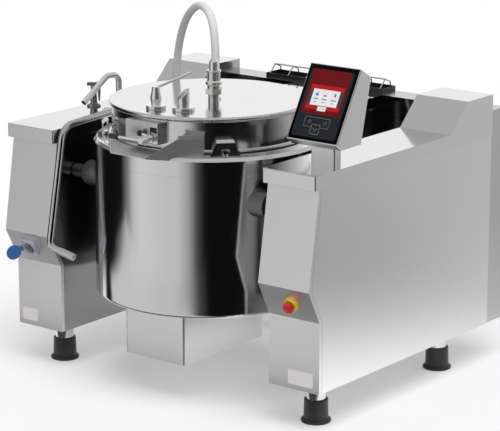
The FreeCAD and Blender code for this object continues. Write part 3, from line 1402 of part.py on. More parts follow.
def screen_block(clearance):
    """The screen's slab, set into the housing's sloping front."""
    top = V(0, DISPLAY_TOP_FRONT[0], DISPLAY_TOP_FRONT[1])
    low = V(0, DISPLAY_LOW_FRONT[0], DISPLAY_LOW_FRONT[1])
    down = (low - top).normalize()
    inward = V(0, -down.z, down.y)
    if inward.y < 0:
        inward = inward * -1
    a = top + down * (SCREEN_MARGIN - clearance)
    b = low - down * (SCREEN_MARGIN - clearance)
    x0 = DISPLAY_LEFT + SCREEN_MARGIN - clearance
    x1 = DISPLAY_RIGHT - SCREEN_MARGIN + clearance
    corners = [a + V(x0, 0, 0), a + V(x1, 0, 0), b + V(x1, 0, 0), b + V(x0, 0, 0)]
    proud = 0.6
    face = rounded_face([p - inward * proud for p in corners], 8.0)
    return face.extrude(inward * (SCREEN_THICKNESS + proud + clearance))


def display_screen():
    return screen_block(0.0)


def display_stand():
    """Neck between the worktop and the display."""
    half = STAND_WIDTH / 2
    top = DISPLAY_LOW_BOTTOM[1]
    outline = rectangle(COLUMN_MIDDLE - half, COLUMN_MIDDLE + half, STAND_FRONT, STAND_BACK)
    outer = floor_prism(outline, WORKTOP, top, radii=5.0)
    inner = floor_prism(grown(outline, -SHEET), WORKTOP - 1, top + 4, radii=3.0)
    return outer.cut(inner)


def facing(shape, x, height):
    """Turns a piece made along +Z at the origin so that it stands on the undercut face."""
    point, normal = undercut_frame(x, height)
    copy = shape.copy()
    copy.Placement = FreeCAD.Placement(point, FreeCAD.Rotation(V(0, 0, 1), normal)).multiply(copy.Placement)
    return copy


def stop_collar():
    collar = turned(
        [
            (STOP_STEM_RADIUS + REST_GAP, -SHEET - 3),
            (16, -SHEET - 3),
            (16, 0),
            (STOP_COLLAR_RADIUS, 0),
            (STOP_COLLAR_RADIUS - 3, STOP_COLLAR_HEIGHT),
            (STOP_STEM_RADIUS + REST_GAP, STOP_COLLAR_HEIGHT),
        ],
        [0, 0, 0, 0, 2, 0],
    )
    return facing(collar, STOP_X, STOP_HEIGHT)


def stop_button():
    low = STOP_COLLAR_HEIGHT + STOP_TRAVEL + 1
    button = turned(
        [
            (0, -8),
            (STOP_STEM_RADIUS, -8),
            (STOP_STEM_RADIUS, low),
            (STOP_HEAD_RADIUS, low),
            (STOP_HEAD_RADIUS, low + STOP_HEAD_HEIGHT),
            (0, low + STOP_HEAD_HEIGHT + 2),
        ],
        [0, 0, 2, 3, 6, 0],
    )
    return facing(button, STOP_X, STOP_HEIGHT)


def power_socket():
    """Socket with a square flange; two ears and a pin on its side carry the cap."""
    half = SOCKET_SIZE / 2
    flange = floor_prism(rectangle(-half, half, -half, half), 0, SOCKET_HEIGHT_OUT, radii=SOCKET_CORNER)
    barrel = cylinder(V(0, 0, -SHEET - 34), V(0, 0, 1), SOCKET_BORE + 3, SHEET + 34)
    bore = cylinder(V(0, 0, -SHEET - 30), V(0, 0, 1), SOCKET_BORE, 80)
    floor = cylinder(V(0, 0, -SHEET - 34), V(0, 0, 1), SOCKET_BORE, 4)
    pins = [cylinder(V(12, 0, -SHEET - 31), V(0, 0, 1), 3.0, 26)]
    for turn in (120, 240):
        pins.append(around(pins[0], turn))
    ears = around(socket_ears(), 90)
    body = flange.fuse(barrel).cut(bore).fuse([floor, ears] + pins)
    return facing(body, SOCKET_X, SOCKET_HEIGHT)


def socket_ears():
    """The two ears and the pin of the cap's hinge, made on the +Y side."""
    rise, reach = hinge_of_cap()
    ears = []
    for x0 in (-9 - REST_GAP - 4.5, 9 + REST_GAP):
        ears.append(box(x0, x0 + 4.5, SOCKET_SIZE / 2 - 4, reach + 4, SOCKET_HEIGHT_OUT - 6, rise + 2.5))
    pin = cylinder(V(-11, reach, rise), V(1, 0, 0), CAP_PIN_RADIUS, 22)
    return ears[0].fuse([ears[1], pin])


def hinge_of_cap():
    """Height of the cap's hinge over the face, and its distance from the socket's middle."""
    return SOCKET_HEIGHT_OUT + 4.0, SOCKET_SIZE / 2 + 2.0


def closed_cap():
    """The cap as it closes the socket, made along +Z."""
    low = SOCKET_HEIGHT_OUT + REST_GAP
    disc = turned(
        [(0, low), (CAP_RADIUS, low), (CAP_RADIUS, low + CAP_THICKNESS), (0, low + CAP_THICKNESS)], [0, 0, 3, 0]
    )
    rise, reach = hinge_of_cap()
    ear = box(-9, 9, CAP_RADIUS - 8, reach, low, low + 5)
    knuckle = cylinder(V(-9, reach, rise), V(1, 0, 0), CAP_PIN_RADIUS + 2.2, 18)
    bore = cylinder(V(-10, reach, rise), V(1, 0, 0), CAP_PIN_RADIUS + RUN_FIT, 20)
    return disc.fuse([ear, knuckle]).cut(bore)


def socket_cap():
    """The blue cap, swung open about the hinge beside the socket."""
    rise, reach = hinge_of_cap()
    cap = closed_cap()
    cap.rotate(V(0, reach, rise), V(1, 0, 0), -CAP_OPEN_ANGLE)
    return facing(around(cap, 90), SOCKET_X, SOCKET_HEIGHT)


def blank_plate(place):
    x, z, width, height = place
    outline = rectangle(x - width / 2, x + width / 2, z - height / 2, z + height / 2)
    return front_prism(outline, LOWER_FRONT - PLATE_THICKNESS, LOWER_FRONT, radii=PLATE_CORNER)


def water_pipe():
    """Supply pipe inside the left column, from the inlet up to the tap."""
    x = TAP_VALVE[0]
    points = [
        V(x, HOUSING_BACK - SHEET - 4, WATER_INLET_HEIGHT),
        V(x, TAP_VALVE[1] + 60, WATER_INLET_HEIGHT),
        V(x, TAP_VALVE[1], WATER_INLET_HEIGHT + 80),
        V(x, TAP_VALVE[1], WORKTOP - SHEET - REST_GAP),
    ]
    return swept_tube(points, [0, 45.0, 45.0, 0], WATER_PIPE_RADIUS)


def threaded_inlet(x, z, radius, length):
    """Nipple with a narrower neck through the housing's back, and its locknut inside."""
    back = HOUSING_BACK - SHEET
    neck = cylinder(V(x, back - 4, z), V(0, 1, 0), radius - NECK_RELIEF, 4 + SHEET + NECK_LENGTH + 1)
    body = cylinder(V(x, HOUSING_BACK + NECK_LENGTH, z), V(0, 1, 0), radius, length - NECK_LENGTH)
    nut = hexagon_bar(V(x, back - 8 - REST_GAP, z), V(0, 1, 0), radius + 6, 8)
    return body.fuse([neck, nut])


def water_inlet():
    inlet = threaded_inlet(TAP_VALVE[0], WATER_INLET_HEIGHT, WATER_INLET_RADIUS, WATER_INLET_LENGTH)
    bore = cylinder(V(TAP_VALVE[0], 0, WATER_INLET_HEIGHT), V(0, 1, 0), WATER_PIPE_RADIUS + 0.2, HOUSING_BACK - SHEET - 3.5)
    return inlet.cut(bore)


def gas_inlet():
    return threaded_inlet(GAS_INLET_X, GAS_INLET_HEIGHT, GAS_INLET_RADIUS, GAS_INLET_LENGTH)


def cable_gland():
    y = HOUSING_BACK - SHEET
    stem = cylinder(V(GLAND_X, y - 8, GLAND_HEIGHT), V(0, 1, 0), GLAND_RADIUS - 5, 8 + SHEET)
    nut = hexagon_bar(V(GLAND_X, HOUSING_BACK, GLAND_HEIGHT), V(0, 1, 0), GLAND_RADIUS + 2, 9)
    dome = cylinder(V(GLAND_X, HOUSING_BACK + 9, GLAND_HEIGHT), V(0, 1, 0), GLAND_RADIUS - 1, GLAND_LENGTH - 9)
    dome = rounded_along(dome, 5.0, lambda c: c.y > HOUSING_BACK + GLAND_LENGTH - 1)
    bore = cylinder(V(GLAND_X, y - 10, GLAND_HEIGHT), V(0, 1, 0), GLAND_BORE, 60)
    return stem.fuse([nut, dome]).cut(bore)


def hole_on_undercut(cover, x, height, radius):
    point, normal = undercut_frame(x, height)
    return cover.cut(cylinder(point - normal * 12, normal, radius, 24))


def both(shape):
    return Part.makeCompound([shape, mirrored(shape)])


def four_feet(make):
    right = [make(FOOT_FRONT_Y), make(FOOT_BACK_Y)]
    return Part.makeCompound(right + [mirrored(s) for s in right])


def nodes():
    right_front = hole_on_undercut(front_cover(), STOP_X, STOP_HEIGHT, 16 + 0.2)
    left_front = hole_on_undercut(mirrored(front_cover()), SOCKET_X, SOCKET_HEIGHT, SOCKET_BORE + 3 + 0.2)
    return {
        "main_frame": main_frame(),
        "front_covers": Part.makeCompound([right_front, left_front]),
        "side_covers": both(side_cover()),
        "inner_covers": both(inner_cover()),
        "top_covers": both(top_cover()),
        "trunnion_bearings": both(bearing()),
        "foot_sleeves": four_feet(foot_sleeve),
        "rear_housing": rear_housing(),
        "rear_panel": rear_panel(),
        "flue_cover": flue_cover(),
        "flue_tray": flue_tray(),
        "flue_guard": flue_guard(),
        "tilt_drive": tilt_drive(),
        "control_cabinet": control_cabinet(),
        "tap_body": tap_body(),
        "tap_base": tap_base(),
        "tap_hole_plug": tap_hole_plug(),
        "display_housing": display_housing(),
        "display_screen": display_screen(),
        "display_stand": display_stand(),
        "stop_collar": stop_collar(),
        "power_socket": power_socket(),
        "blank_plates": Part.makeCompound([blank_plate(RIGHT_PLATE), blank_plate(LEFT_PLATE)]),
        "water_pipe": water_pipe(),
        "water_inlet": water_inlet(),
        "gas_inlet": gas_inlet(),
        "cable_gland": cable_gland(),
        "vessel_jacket": vessel_jacket(),
        "jacket_band": jacket_band(),
        "rim_ring": rim_ring(),
        "pan": pan(),
        "insulation": insulation(),
        "burners": burners(),
        "drive_box": drive_box(),
        "stirrer_drive": stirrer_drive(),
        "trunnions": both(trunnion()),
        "pouring_spout": pouring_spout(),
        "rim_lugs": on_both_lugs(rim_lug()),
        "lug_bolts": on_both_lugs(lug_bolt()),
        "hinge_cheeks": Part.makeCompound([cheek(x) for x in CHEEK_X]),
        "stirrer_shaft": stirrer_shaft(),
        "stirrer_arms": stirrer_arms(),
        "scrapers": scrapers(),
        "lid_shell": lid_shell(),
        "lid_gasket": lid_gasket(),
        "lid_hinge": lid_hinge(),
        "lid_lever": lid_lever(),
        "lock_box": lock_box(),
        "valve_body": valve_body(),
        "vent_pipe": vent_pipe(),
        "safety_valve": safety_valve(),
        "vent_hose": vent_hose(),
        "hose_fittings": hose_fittings(),
        "lock_spindle": lock_spindle(),
        "lock_grips": Part.makeCompound([lock_grip(), lock_ball()]),
        "valve_lever": valve_lever(),
        "tap_handle": tap_handle(),
        "tap_spout": tap_spout(),
        "stop_button": stop_button(),
        "socket_cap": socket_cap(),
    }


def write_nodes():
    os.makedirs("parts", exist_ok=True)
    for name, shape in nodes().items():
        shape.translate(V(-MIDDLE_X, -MIDDLE_Y, 0))
        shape.exportStep("parts/" + name + ".step")
        print(name, len(shape.Solids), shape.isValid(), round(shape.Volume / 1000.0, 1))
    print("hose bend radii", [round(r, 1) for r in hose_bends()])


if __name__ == "__main__":
    write_nodes()
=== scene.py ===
import bpy
import math
from mathutils import Matrix, Vector


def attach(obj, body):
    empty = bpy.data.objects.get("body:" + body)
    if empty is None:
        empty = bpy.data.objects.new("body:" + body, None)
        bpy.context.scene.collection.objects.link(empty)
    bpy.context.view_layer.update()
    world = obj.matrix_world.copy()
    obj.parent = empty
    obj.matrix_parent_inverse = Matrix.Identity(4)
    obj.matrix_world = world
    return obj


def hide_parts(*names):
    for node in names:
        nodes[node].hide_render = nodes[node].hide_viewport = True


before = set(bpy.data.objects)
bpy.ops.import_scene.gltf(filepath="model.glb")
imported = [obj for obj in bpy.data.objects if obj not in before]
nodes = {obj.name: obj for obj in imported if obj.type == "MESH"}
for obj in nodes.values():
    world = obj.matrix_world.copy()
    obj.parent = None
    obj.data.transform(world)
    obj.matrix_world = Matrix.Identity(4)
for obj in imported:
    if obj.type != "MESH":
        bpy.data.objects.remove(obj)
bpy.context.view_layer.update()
scene = bpy.context.scene
scene.view_settings.view_transform = "Standard"

# The middle of the footprint, seen from the point midway between the columns on the vessel's axis
MID = Vector((0.00275, 0.219, 0.0))


# Camera: metres, degrees and millimetres

CAMERA_PLACE = Vector((4.9848, -6.1708, 2.6251)) - MID
CAMERA_DIP = 14.31
CAMERA_TURN = 37.93
CAMERA_LENS = 166.24
CAMERA_SENSOR = 36
CAMERA_REACH = 60


def add_camera():
    bpy.ops.object.camera_add(location=CAMERA_PLACE)
    camera = bpy.context.object
    camera.rotation_euler = (math.radians(90 - CAMERA_DIP), 0, math.radians(CAMERA_TURN))
    camera.data.lens = CAMERA_LENS
    camera.data.sensor_width = CAMERA_SENSOR
    camera.data.clip_end = CAMERA_REACH
    scene.camera = camera


# Materials

# Most values of a noise lie between these two
NOISE_LOW = 0.3
NOISE_HIGH = 0.7

# Steel: how dark its lines are, the size of its stains and the depth of its bumps
LINE_SHADE = 0.96
STAIN_SCALE = 3.0
STEEL_BUMP = 0.35

# Plastic: the size of its patches, how far they change its gloss, its bumps and its clear coat
PATCH_SCALE = 14.0
PATCH_GLOSS = 0.12
PLASTIC_BUMP = 0.4
COAT_ROUGHNESS = 0.06


def new_material(name):
    material = bpy.data.materials.new(name)
    material.use_nodes = True
    return material, material.node_tree, material.node_tree.nodes["Principled BSDF"]


def object_noise(tree, scale, stretch=(1, 1, 1), detail=3.0, rough=0.6):
    """Noise that sticks to the object, drawn out along the axes with a small stretch value."""
    where = tree.nodes.new("ShaderNodeTexCoord")
    mapping = tree.nodes.new("ShaderNodeMapping")
    mapping.inputs["Scale"].default_value = stretch
    noise = tree.nodes.new("ShaderNodeTexNoise")
    noise.inputs["Scale"].default_value = scale
    noise.inputs["Detail"].default_value = detail
    noise.inputs["Roughness"].default_value = rough
    tree.links.new(where.outputs["Object"], mapping.inputs["Vector"])
    tree.links.new(mapping.outputs["Vector"], noise.inputs["Vector"])
    return noise.outputs["Fac"]


def spread(tree, value, low, high):
    """Maps a noise's usual range to low..high."""
    ramp = tree.nodes.new("ShaderNodeMapRange")
    ramp.inputs["From Min"].default_value = NOISE_LOW
    ramp.inputs["From Max"].default_value = NOISE_HIGH
    ramp.inputs["To Min"].default_value = low
    ramp.inputs["To Max"].default_value = high
    tree.links.new(value, ramp.inputs["Value"])
    return ramp.outputs["Result"]


def averaged(tree, first, second):
    """Half of one value and half of the other."""
    half = tree.nodes.new("ShaderNodeMath")
    half.operation = "MULTIPLY"
    half.inputs[1].default_value = 0.5
    tree.links.new(second, half.inputs[0])
    both = tree.nodes.new("ShaderNodeMath")
    both.operation = "MULTIPLY_ADD"
    both.inputs[1].default_value = 0.5
    tree.links.new(first, both.inputs[0])
    tree.links.new(half.outputs[0], both.inputs[2])
    return both.outputs[0]


def tinted(tree, value, dark, light):
    mix = tree.nodes.new("ShaderNodeMix")
    mix.data_type = "RGBA"
    mix.inputs["A"].default_value = (*dark, 1)
    mix.inputs["B"].default_value = (*light, 1)
    tree.links.new(value, mix.inputs["Factor"])
    return mix.outputs["Result"]


def bumped(tree, shader, height, strength, distance):
    bump = tree.nodes.new("ShaderNodeBump")
    bump.inputs["Strength"].default_value = strength
    bump.inputs["Distance"].default_value = distance
    tree.links.new(height, bump.inputs["Height"])
    tree.links.new(bump.outputs["Normal"], shader.inputs["Normal"])


def steel(name, tone, rough, along, lines=420.0, depth=0.000012, spin=0.0, smudge=0.03, metal=1.0):
    """Stainless steel with fine grinding lines, which run along the axes with a small stretch value."""
    material, tree, shader = new_material(name)
    shader.inputs["Metallic"].default_value = metal
    shader.inputs["Anisotropic"].default_value = spin
    grain = object_noise(tree, lines, along, detail=4.0)
    stain = object_noise(tree, STAIN_SCALE, detail=5.0)
    wear = averaged(tree, grain, stain)
    dark = [t * LINE_SHADE for t in tone]
    tree.links.new(tinted(tree, spread(tree, wear, 0.0, 1.0), dark, tone), shader.inputs["Base Color"])
    tree.links.new(spread(tree, wear, rough - smudge, rough + smudge), shader.inputs["Roughness"])
    bumped(tree, shader, grain, STEEL_BUMP, depth)
    return material


def plastic(name, colour, rough, grain=900.0, depth=0.00002, coat=0.0, vary=1.12, shine=0.5):
    """Moulded plastic or rubber with a fine texture and a slight change of colour."""
    material, tree, shader = new_material(name)
    fine = object_noise(tree, grain, detail=2.0)
    patch = object_noise(tree, PATCH_SCALE, detail=4.0)
    light = [min(1.0, c * vary) for c in colour]
    gloss = spread(tree, patch, rough * (1 - PATCH_GLOSS), rough * (1 + PATCH_GLOSS))
    tree.links.new(tinted(tree, spread(tree, patch, 0.0, 1.0), colour, light), shader.inputs["Base Color"])
    tree.links.new(gloss, shader.inputs["Roughness"])
    shader.inputs["Specular IOR Level"].default_value = shine
    shader.inputs["Coat Weight"].default_value = coat
    shader.inputs["Coat Roughness"].default_value = COAT_ROUGHNESS
    bumped(tree, shader, fine, PLASTIC_BUMP, depth)
    return material


def ink(name, colour, vary=1.05):
    """Colour of a print under the display's glass."""
    return plastic(name, colour, 0.3, shine=0.12, vary=vary)


# Ways that grinding lines run: a small value is along the lines
LEVEL = (0.02, 0.02, 1.0)
LEVEL_LONG = (0.012, 0.012, 1.0)
LEVEL_SHORT = (0.05, 0.05, 1.0)
TURNED_RINGS = (0.1, 0.1, 1.0)
FRONT_TO_BACK = (1.0, 0.02, 1.0)
FRONT_TO_BACK_SHORT = (1.0, 0.1, 1.0)
SIDE_TO_SIDE = (0.02, 1.0, 1.0)
ACROSS = (1.0, 0.05, 0.05)
ACROSS_LONG = (1.0, 0.04, 0.04)
UPRIGHT = (1.0, 1.0, 0.05)

finish = {
    "cover_steel": steel("cover_steel", (0.88, 0.88, 0.875), 0.34, LEVEL),
    "rear_steel": steel("rear_steel", (0.64, 0.64, 0.635), 0.30, LEVEL),
    "worktop_steel": steel("worktop_steel", (0.76, 0.76, 0.755), 0.11, FRONT_TO_BACK),
    # Steel darkened for the inner covers: painted shade and dark reflection in the bay between the columns
    "shaded_inner_steel": steel("shaded_inner_steel", (0.40, 0.40, 0.40), 0.17, LEVEL),
    "jacket_steel": steel("jacket_steel", (0.82, 0.82, 0.815), 0.11, LEVEL_LONG),
    "lid_steel": steel("lid_steel", (0.80, 0.80, 0.795), 0.15, LEVEL_SHORT, spin=0.3),
    "rim_steel": steel("rim_steel", (0.84, 0.84, 0.84), 0.09, LEVEL_SHORT, depth=0.000004, smudge=0.02),
    "spout_steel": steel("spout_steel", (0.90, 0.90, 0.895), 0.54, ACROSS, smudge=0.04),
    "lug_steel": steel("lug_steel", (0.78, 0.78, 0.775), 0.24, ACROSS),
    "satin_steel": steel("satin_steel", (0.74, 0.74, 0.735), 0.36, ACROSS, smudge=0.04),
    "mirror_steel": steel("mirror_steel", (0.78, 0.78, 0.78), 0.07, SIDE_TO_SIDE,
                          depth=0.000004, smudge=0.02),
    "pan_steel": steel("pan_steel", (0.74, 0.74, 0.73), 0.28, LEVEL, spin=0.5),
    "frame_steel": steel("frame_steel", (0.55, 0.55, 0.54), 0.38, UPRIGHT, lines=160.0, smudge=0.08),
    "turned_steel": steel("turned_steel", (0.66, 0.66, 0.655), 0.13, ACROSS_LONG, lines=700.0,
                          depth=0.000006),
    "dark_steel": steel("dark_steel", (0.20, 0.20, 0.20), 0.38, ACROSS_LONG, lines=300.0, smudge=0.05),
    # Chrome darkened for the tap's body and handle: a painted dark reflection
    "shaded_tap_steel": steel("shaded_tap_steel", (0.30, 0.29, 0.28), 0.16, TURNED_RINGS, lines=900.0,
                       depth=0.000004, smudge=0.02),
    "chrome": steel("chrome", (0.90, 0.88, 0.86), 0.10, TURNED_RINGS, lines=900.0,
                    depth=0.000004, smudge=0.02, metal=0.84),
    "black_enamel": plastic("black_enamel", (0.012, 0.012, 0.013), 0.35, grain=500.0, coat=0.2),
    "black_sleeve": plastic("black_sleeve", (0.018, 0.018, 0.020), 0.42, grain=1100.0),
    "seal": plastic("seal", (0.010, 0.010, 0.010), 0.6),
    "cast_paint": plastic("cast_paint", (0.16, 0.17, 0.18), 0.45, grain=260.0, depth=0.0001),
    "wool": plastic("wool", (0.48, 0.43, 0.26), 0.95, grain=180.0, depth=0.002),
    "white_plastic": plastic("white_plastic", (0.78, 0.78, 0.75), 0.4),
    "black_knob": plastic("black_knob", (0.012, 0.012, 0.013), 0.3, coat=0.3),
    "hose": plastic("hose", (0.83, 0.83, 0.83), 0.55, grain=300.0, vary=1.03),
    "glass": plastic("glass", (0.0012, 0.0012, 0.0014), 0.12, depth=0.000002, shine=0.05),
    "red": plastic("red", (0.56, 0.014, 0.018), 0.3, coat=0.3),
    "yellow": plastic("yellow", (0.80, 0.62, 0.02), 0.38, coat=0.2),
    "socket_grey": plastic("socket_grey", (0.42, 0.44, 0.47), 0.36),
    "blue": plastic("blue", (0.022, 0.13, 0.41), 0.34, coat=0.2),
    "plate": plastic("plate", (0.80, 0.77, 0.75), 0.35, vary=1.03),
    "brass": steel("brass", (0.74, 0.54, 0.24), 0.22, FRONT_TO_BACK_SHORT),
    "ink_slate": ink("ink_slate", (0.016, 0.021, 0.026)),
    "ink_dark_red": ink("ink_dark_red", (0.165, 0.006, 0.008)),
    "ink_red": ink("ink_red", (0.52, 0.014, 0.020)),
    "ink_strip": ink("ink_strip", (0.050, 0.064, 0.085)),
    "ink_white": ink("ink_white", (0.94, 0.94, 0.95), vary=1.02),
    "ink_grey": ink("ink_grey", (0.30, 0.31, 0.33)),
    "ink_line": ink("ink_line", (0.26, 0.27, 0.28)),
    "ink_blue": ink("ink_blue", (0.030, 0.300, 0.680)),
    "ink_green": ink("ink_green", (0.080, 0.460, 0.110)),
}

node_finish = {
    "rear_steel": "rear_housing",
    "cover_steel": "front_covers side_covers display_stand display_housing drive_box",
    "worktop_steel": "top_covers",
    # The inner covers take the darkened steel that paints the bay's shade
    "shaded_inner_steel": "inner_covers",
    "jacket_steel": "vessel_jacket jacket_band",
    "lid_steel": "lid_shell",
    "pan_steel": "pan",
    "rim_steel": "rim_ring",
    "lug_steel": "rim_lugs",
    "spout_steel": "pouring_spout",
    "satin_steel": "lock_box",
    "mirror_steel": "rear_panel flue_cover",
    "frame_steel": "burners hinge_cheeks control_cabinet",
    "dark_steel": "trunnions",
    # Tap body and handle take the darkened chrome that paints their dark reflection
    "shaded_tap_steel": "tap_body tap_handle",
    "turned_steel": "main_frame lid_hinge lid_lever lug_bolts flue_guard stirrer_shaft stirrer_arms",
    "chrome": "valve_body vent_pipe safety_valve hose_fittings lock_spindle valve_lever tap_base"
    " tap_hole_plug tap_spout",
    "black_enamel": "flue_tray",
    "black_sleeve": "foot_sleeves cable_gland",
    "seal": "lid_gasket",
    "cast_paint": "trunnion_bearings tilt_drive stirrer_drive",
    "wool": "insulation",
    "white_plastic": "scrapers",
    "black_knob": "lock_grips",
    "hose": "vent_hose",
    "glass": "display_screen",
    "red": "stop_button",
    "yellow": "stop_collar",
    "socket_grey": "power_socket",
    "blue": "socket_cap",
    "plate": "blank_plates",
    "brass": "water_inlet gas_inlet water_pipe",
}


def dress_nodes():
    for name, group in node_finish.items():
        for node in group.split():
            for slot in nodes[node].material_slots:
                slot.material = finish[name]


# Modelling steps

# Ends and faces that lie closer than this count as level
LEVEL_GAP = 1e-7
# Edges between faces that turn by less than this many degrees are shaded smooth
SMOOTH_ANGLE = 32


def begin():
    bpy.ops.object.select_all(action="DESELECT")


def only(piece):
    begin()
    piece.select_set(True)
    bpy.context.view_layer.objects.active = piece


def cube(size, place, turn=0.0):
    """A block with its size in its mesh, turned about its own z."""
    begin()
    bpy.ops.mesh.primitive_cube_add(size=1, location=place, rotation=(0, 0, turn))
    piece = bpy.context.object
    piece.scale = size
    bpy.ops.object.transform_apply(location=True, rotation=True, scale=True)
    return piece


def disc(radius, depth, place, sides=40):
    begin()
    bpy.ops.mesh.primitive_cylinder_add(vertices=sides, radius=radius, depth=depth, location=place)
    bpy.ops.object.transform_apply(location=True, rotation=True, scale=True)
    return bpy.context.object


def clear_selection(mesh):
    for group in (mesh.vertices, mesh.edges, mesh.polygons):
        group.foreach_set("select", [False] * len(group))


def pick_edges(piece, rule):
    """Goes to edit mode with the edges selected whose two ends pass the rule."""
    only(piece)
    mesh = piece.data
    clear_selection(mesh)
    for edge in mesh.edges:
        a, b = (mesh.vertices[i].co for i in edge.vertices)
        edge.select = rule(a, b)
    bpy.context.tool_settings.mesh_select_mode = (False, True, False)
    bpy.ops.object.mode_set(mode="EDIT")


def pick_faces(piece, rule):
    """Goes to edit mode with the faces selected that pass the rule."""
    only(piece)
    mesh = piece.data
    clear_selection(mesh)
    for face in mesh.polygons:
        face.select = rule(face)
    bpy.context.tool_settings.mesh_select_mode = (False, False, True)
    bpy.ops.object.mode_set(mode="EDIT")


def round_upright(piece, radius, steps=4):
    """Rounds the edges that stand along z."""
    pick_edges(piece, lambda a, b: abs(a.x - b.x) < LEVEL_GAP and abs(a.y - b.y) < LEVEL_GAP)
    bpy.ops.mesh.bevel(offset=radius, segments=steps, affect="EDGES")
    bpy.ops.object.mode_set(mode="OBJECT")


def round_top(piece, radius, steps=3):
    """Rounds the edges round the highest face."""
    top = max(v.co.z for v in piece.data.vertices)
    pick_edges(piece, lambda a, b: min(a.z, b.z) > top - LEVEL_GAP)
    bpy.ops.mesh.bevel(offset=radius, segments=steps, affect="EDGES")
    bpy.ops.object.mode_set(mode="OBJECT")


def sink_top(piece, rim, depth):
    """Leaves a raised rim round the highest face."""
    top = max(v.co.z for v in piece.data.vertices)
    pick_faces(piece, lambda face: face.normal.z > 0.9 and face.center.z > top - 10 * LEVEL_GAP)
    bpy.ops.mesh.inset(thickness=rim)
    bpy.ops.transform.translate(value=(0, 0, -depth))
    bpy.ops.object.mode_set(mode="OBJECT")


def joined(name, pieces):
    only(pieces[0])
    for piece in pieces:
        piece.select_set(True)
    if len(pieces) > 1:
        bpy.ops.object.join()
    bpy.context.object.name = name
    return bpy.context.object


def placed(piece, matrix):
    only(piece)
    piece.matrix_world = matrix @ piece.matrix_world
    bpy.ops.object.transform_apply(location=True, rotation=True, scale=True)
    bpy.ops.object.shade_smooth_by_angle(angle=math.radians(SMOOTH_ANGLE))
    return piece


def finished(piece, material, body):
    piece.data.materials.clear()
    piece.data.materials.append(finish[material])
    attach(piece, body)
    return piece


def facing(place, direction, up=(0, 0, 1)):
    """Matrix that puts z along the direction at the place, with y as near to up as it can be."""
    z = Vector(direction).normalized()
    x = Vector(up).cross(z).normalized()
    matrix = Matrix((x, z.cross(x), z)).transposed().to_4x4()
    matrix.translation = Vector(place)
    return matrix


# Drain hose of the lid's vent

HOSE_ROUTE = [
    (0.03225, -0.2330, 1.075),
    (0.03225, -0.2330, 1.140),
    (0.03095, -0.2322, 1.205),
    (0.02105, -0.2264, 1.272),
    (-0.01075, -0.2075, 1.320),
    (-0.06245, -0.1770, 1.338),
    (-0.12265, -0.1413, 1.335),
    (-0.21905, -0.0843, 1.278),
    (-0.28615, -0.0446, 1.178),
    (-0.31375, -0.0283, 1.080),
    (-0.32925, -0.0191, 0.985),
]
HOSE_RADIUS = 0.014

CLAMP_WIDTH = 0.010
CLAMP_WALL = 0.0009
CLAMP_PLAY = 0.0002
CLAMP_FROM_END = 0.013
CLAMP_UP = (0.3, 1, 0.2)
CLAMP_HOUSING = (0.011, 0.008, 0.0085)
CLAMP_HOUSING_RISE = 0.0042
CLAMP_SCREW_RADIUS = 0.0032
CLAMP_SCREW_LENGTH = 0.016
CLAMP_SCREW_SHIFT = 0.002
CLAMP_SCREW_RISE = 0.0045


def make_hose():
    curve = bpy.data.curves.new("drain_hose", "CURVE")
    curve.dimensions = "3D"
    line = curve.splines.new("NURBS")
    line.points.add(len(HOSE_ROUTE) - 1)
    for point, place in zip(line.points, HOSE_ROUTE):
        point.co = (*place, 1)
    line.order_u = 3
    line.use_endpoint_u = True
    curve.bevel_depth = HOSE_RADIUS
    curve.bevel_resolution = 8
    curve.resolution_u = 16
    curve.use_fill_caps = True
    hose = bpy.data.objects.new("drain_hose", curve)
    scene.collection.objects.link(hose)
    finished(hose, "hose", "lid")
    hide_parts("vent_hose")


def clamp_band():
    """Open ring round the hose, with its wall to the outside."""
    begin()
    bpy.ops.mesh.primitive_cylinder_add(vertices=56, radius=HOSE_RADIUS + CLAMP_PLAY, depth=CLAMP_WIDTH,
                                        end_fill_type="NOTHING")
    band = bpy.context.object
    wall = band.modifiers.new("wall", "SOLIDIFY")
    wall.thickness = CLAMP_WALL
    wall.offset = 1
    bpy.ops.object.modifier_apply(modifier="wall")
    return band


def clamp_screw():
    """Screw that lies across the hose beside the band's housing."""
    screw = disc(CLAMP_SCREW_RADIUS, CLAMP_SCREW_LENGTH, (0, 0, 0), 20)
    round_top(screw, 0.0008, 2)
    place = Matrix.Translation((CLAMP_SCREW_SHIFT, HOSE_RADIUS + CLAMP_SCREW_RISE, 0))
    screw.matrix_world = place @ Matrix.Rotation(math.radians(90), 4, "Y")
    only(screw)
    bpy.ops.object.transform_apply(location=True, rotation=True, scale=True)
    return screw


def hose_clamp(name, end, inner):
    """Worm-drive clamp a little way in from the hose's end: its band, the screw's housing and the screw."""
    band = clamp_band()
    housing = cube(CLAMP_HOUSING, (0, HOSE_RADIUS + CLAMP_HOUSING_RISE, 0))
    round_top(housing, 0.002)
    piece = joined(name, [band, housing, clamp_screw()])
    direction = (Vector(inner) - Vector(end)).normalized()
    placed(piece, facing(Vector(end) + direction * CLAMP_FROM_END, direction, CLAMP_UP))
    finished(piece, "chrome", "lid")


# Display

SLAB_WIDTH = 0.194
SLAB_LENGTH = 0.259
DISPLAY_CORNER = (0.48775, -0.28799, 1.21280)
DISPLAY_OUT = (0, -235, 135)
GLASS_WIDTH = 0.1995
GLASS_LENGTH = 0.2640
GLASS_THICKNESS = 0.0009
GLASS_DROP = 0.1285
INK = 0.00015
INK_ROOT = 0.3 * INK
OUTLINE = 0.0012
FINE_OUTLINE = 0.0009
OUTLINE_DEPTH = 1.2 * INK

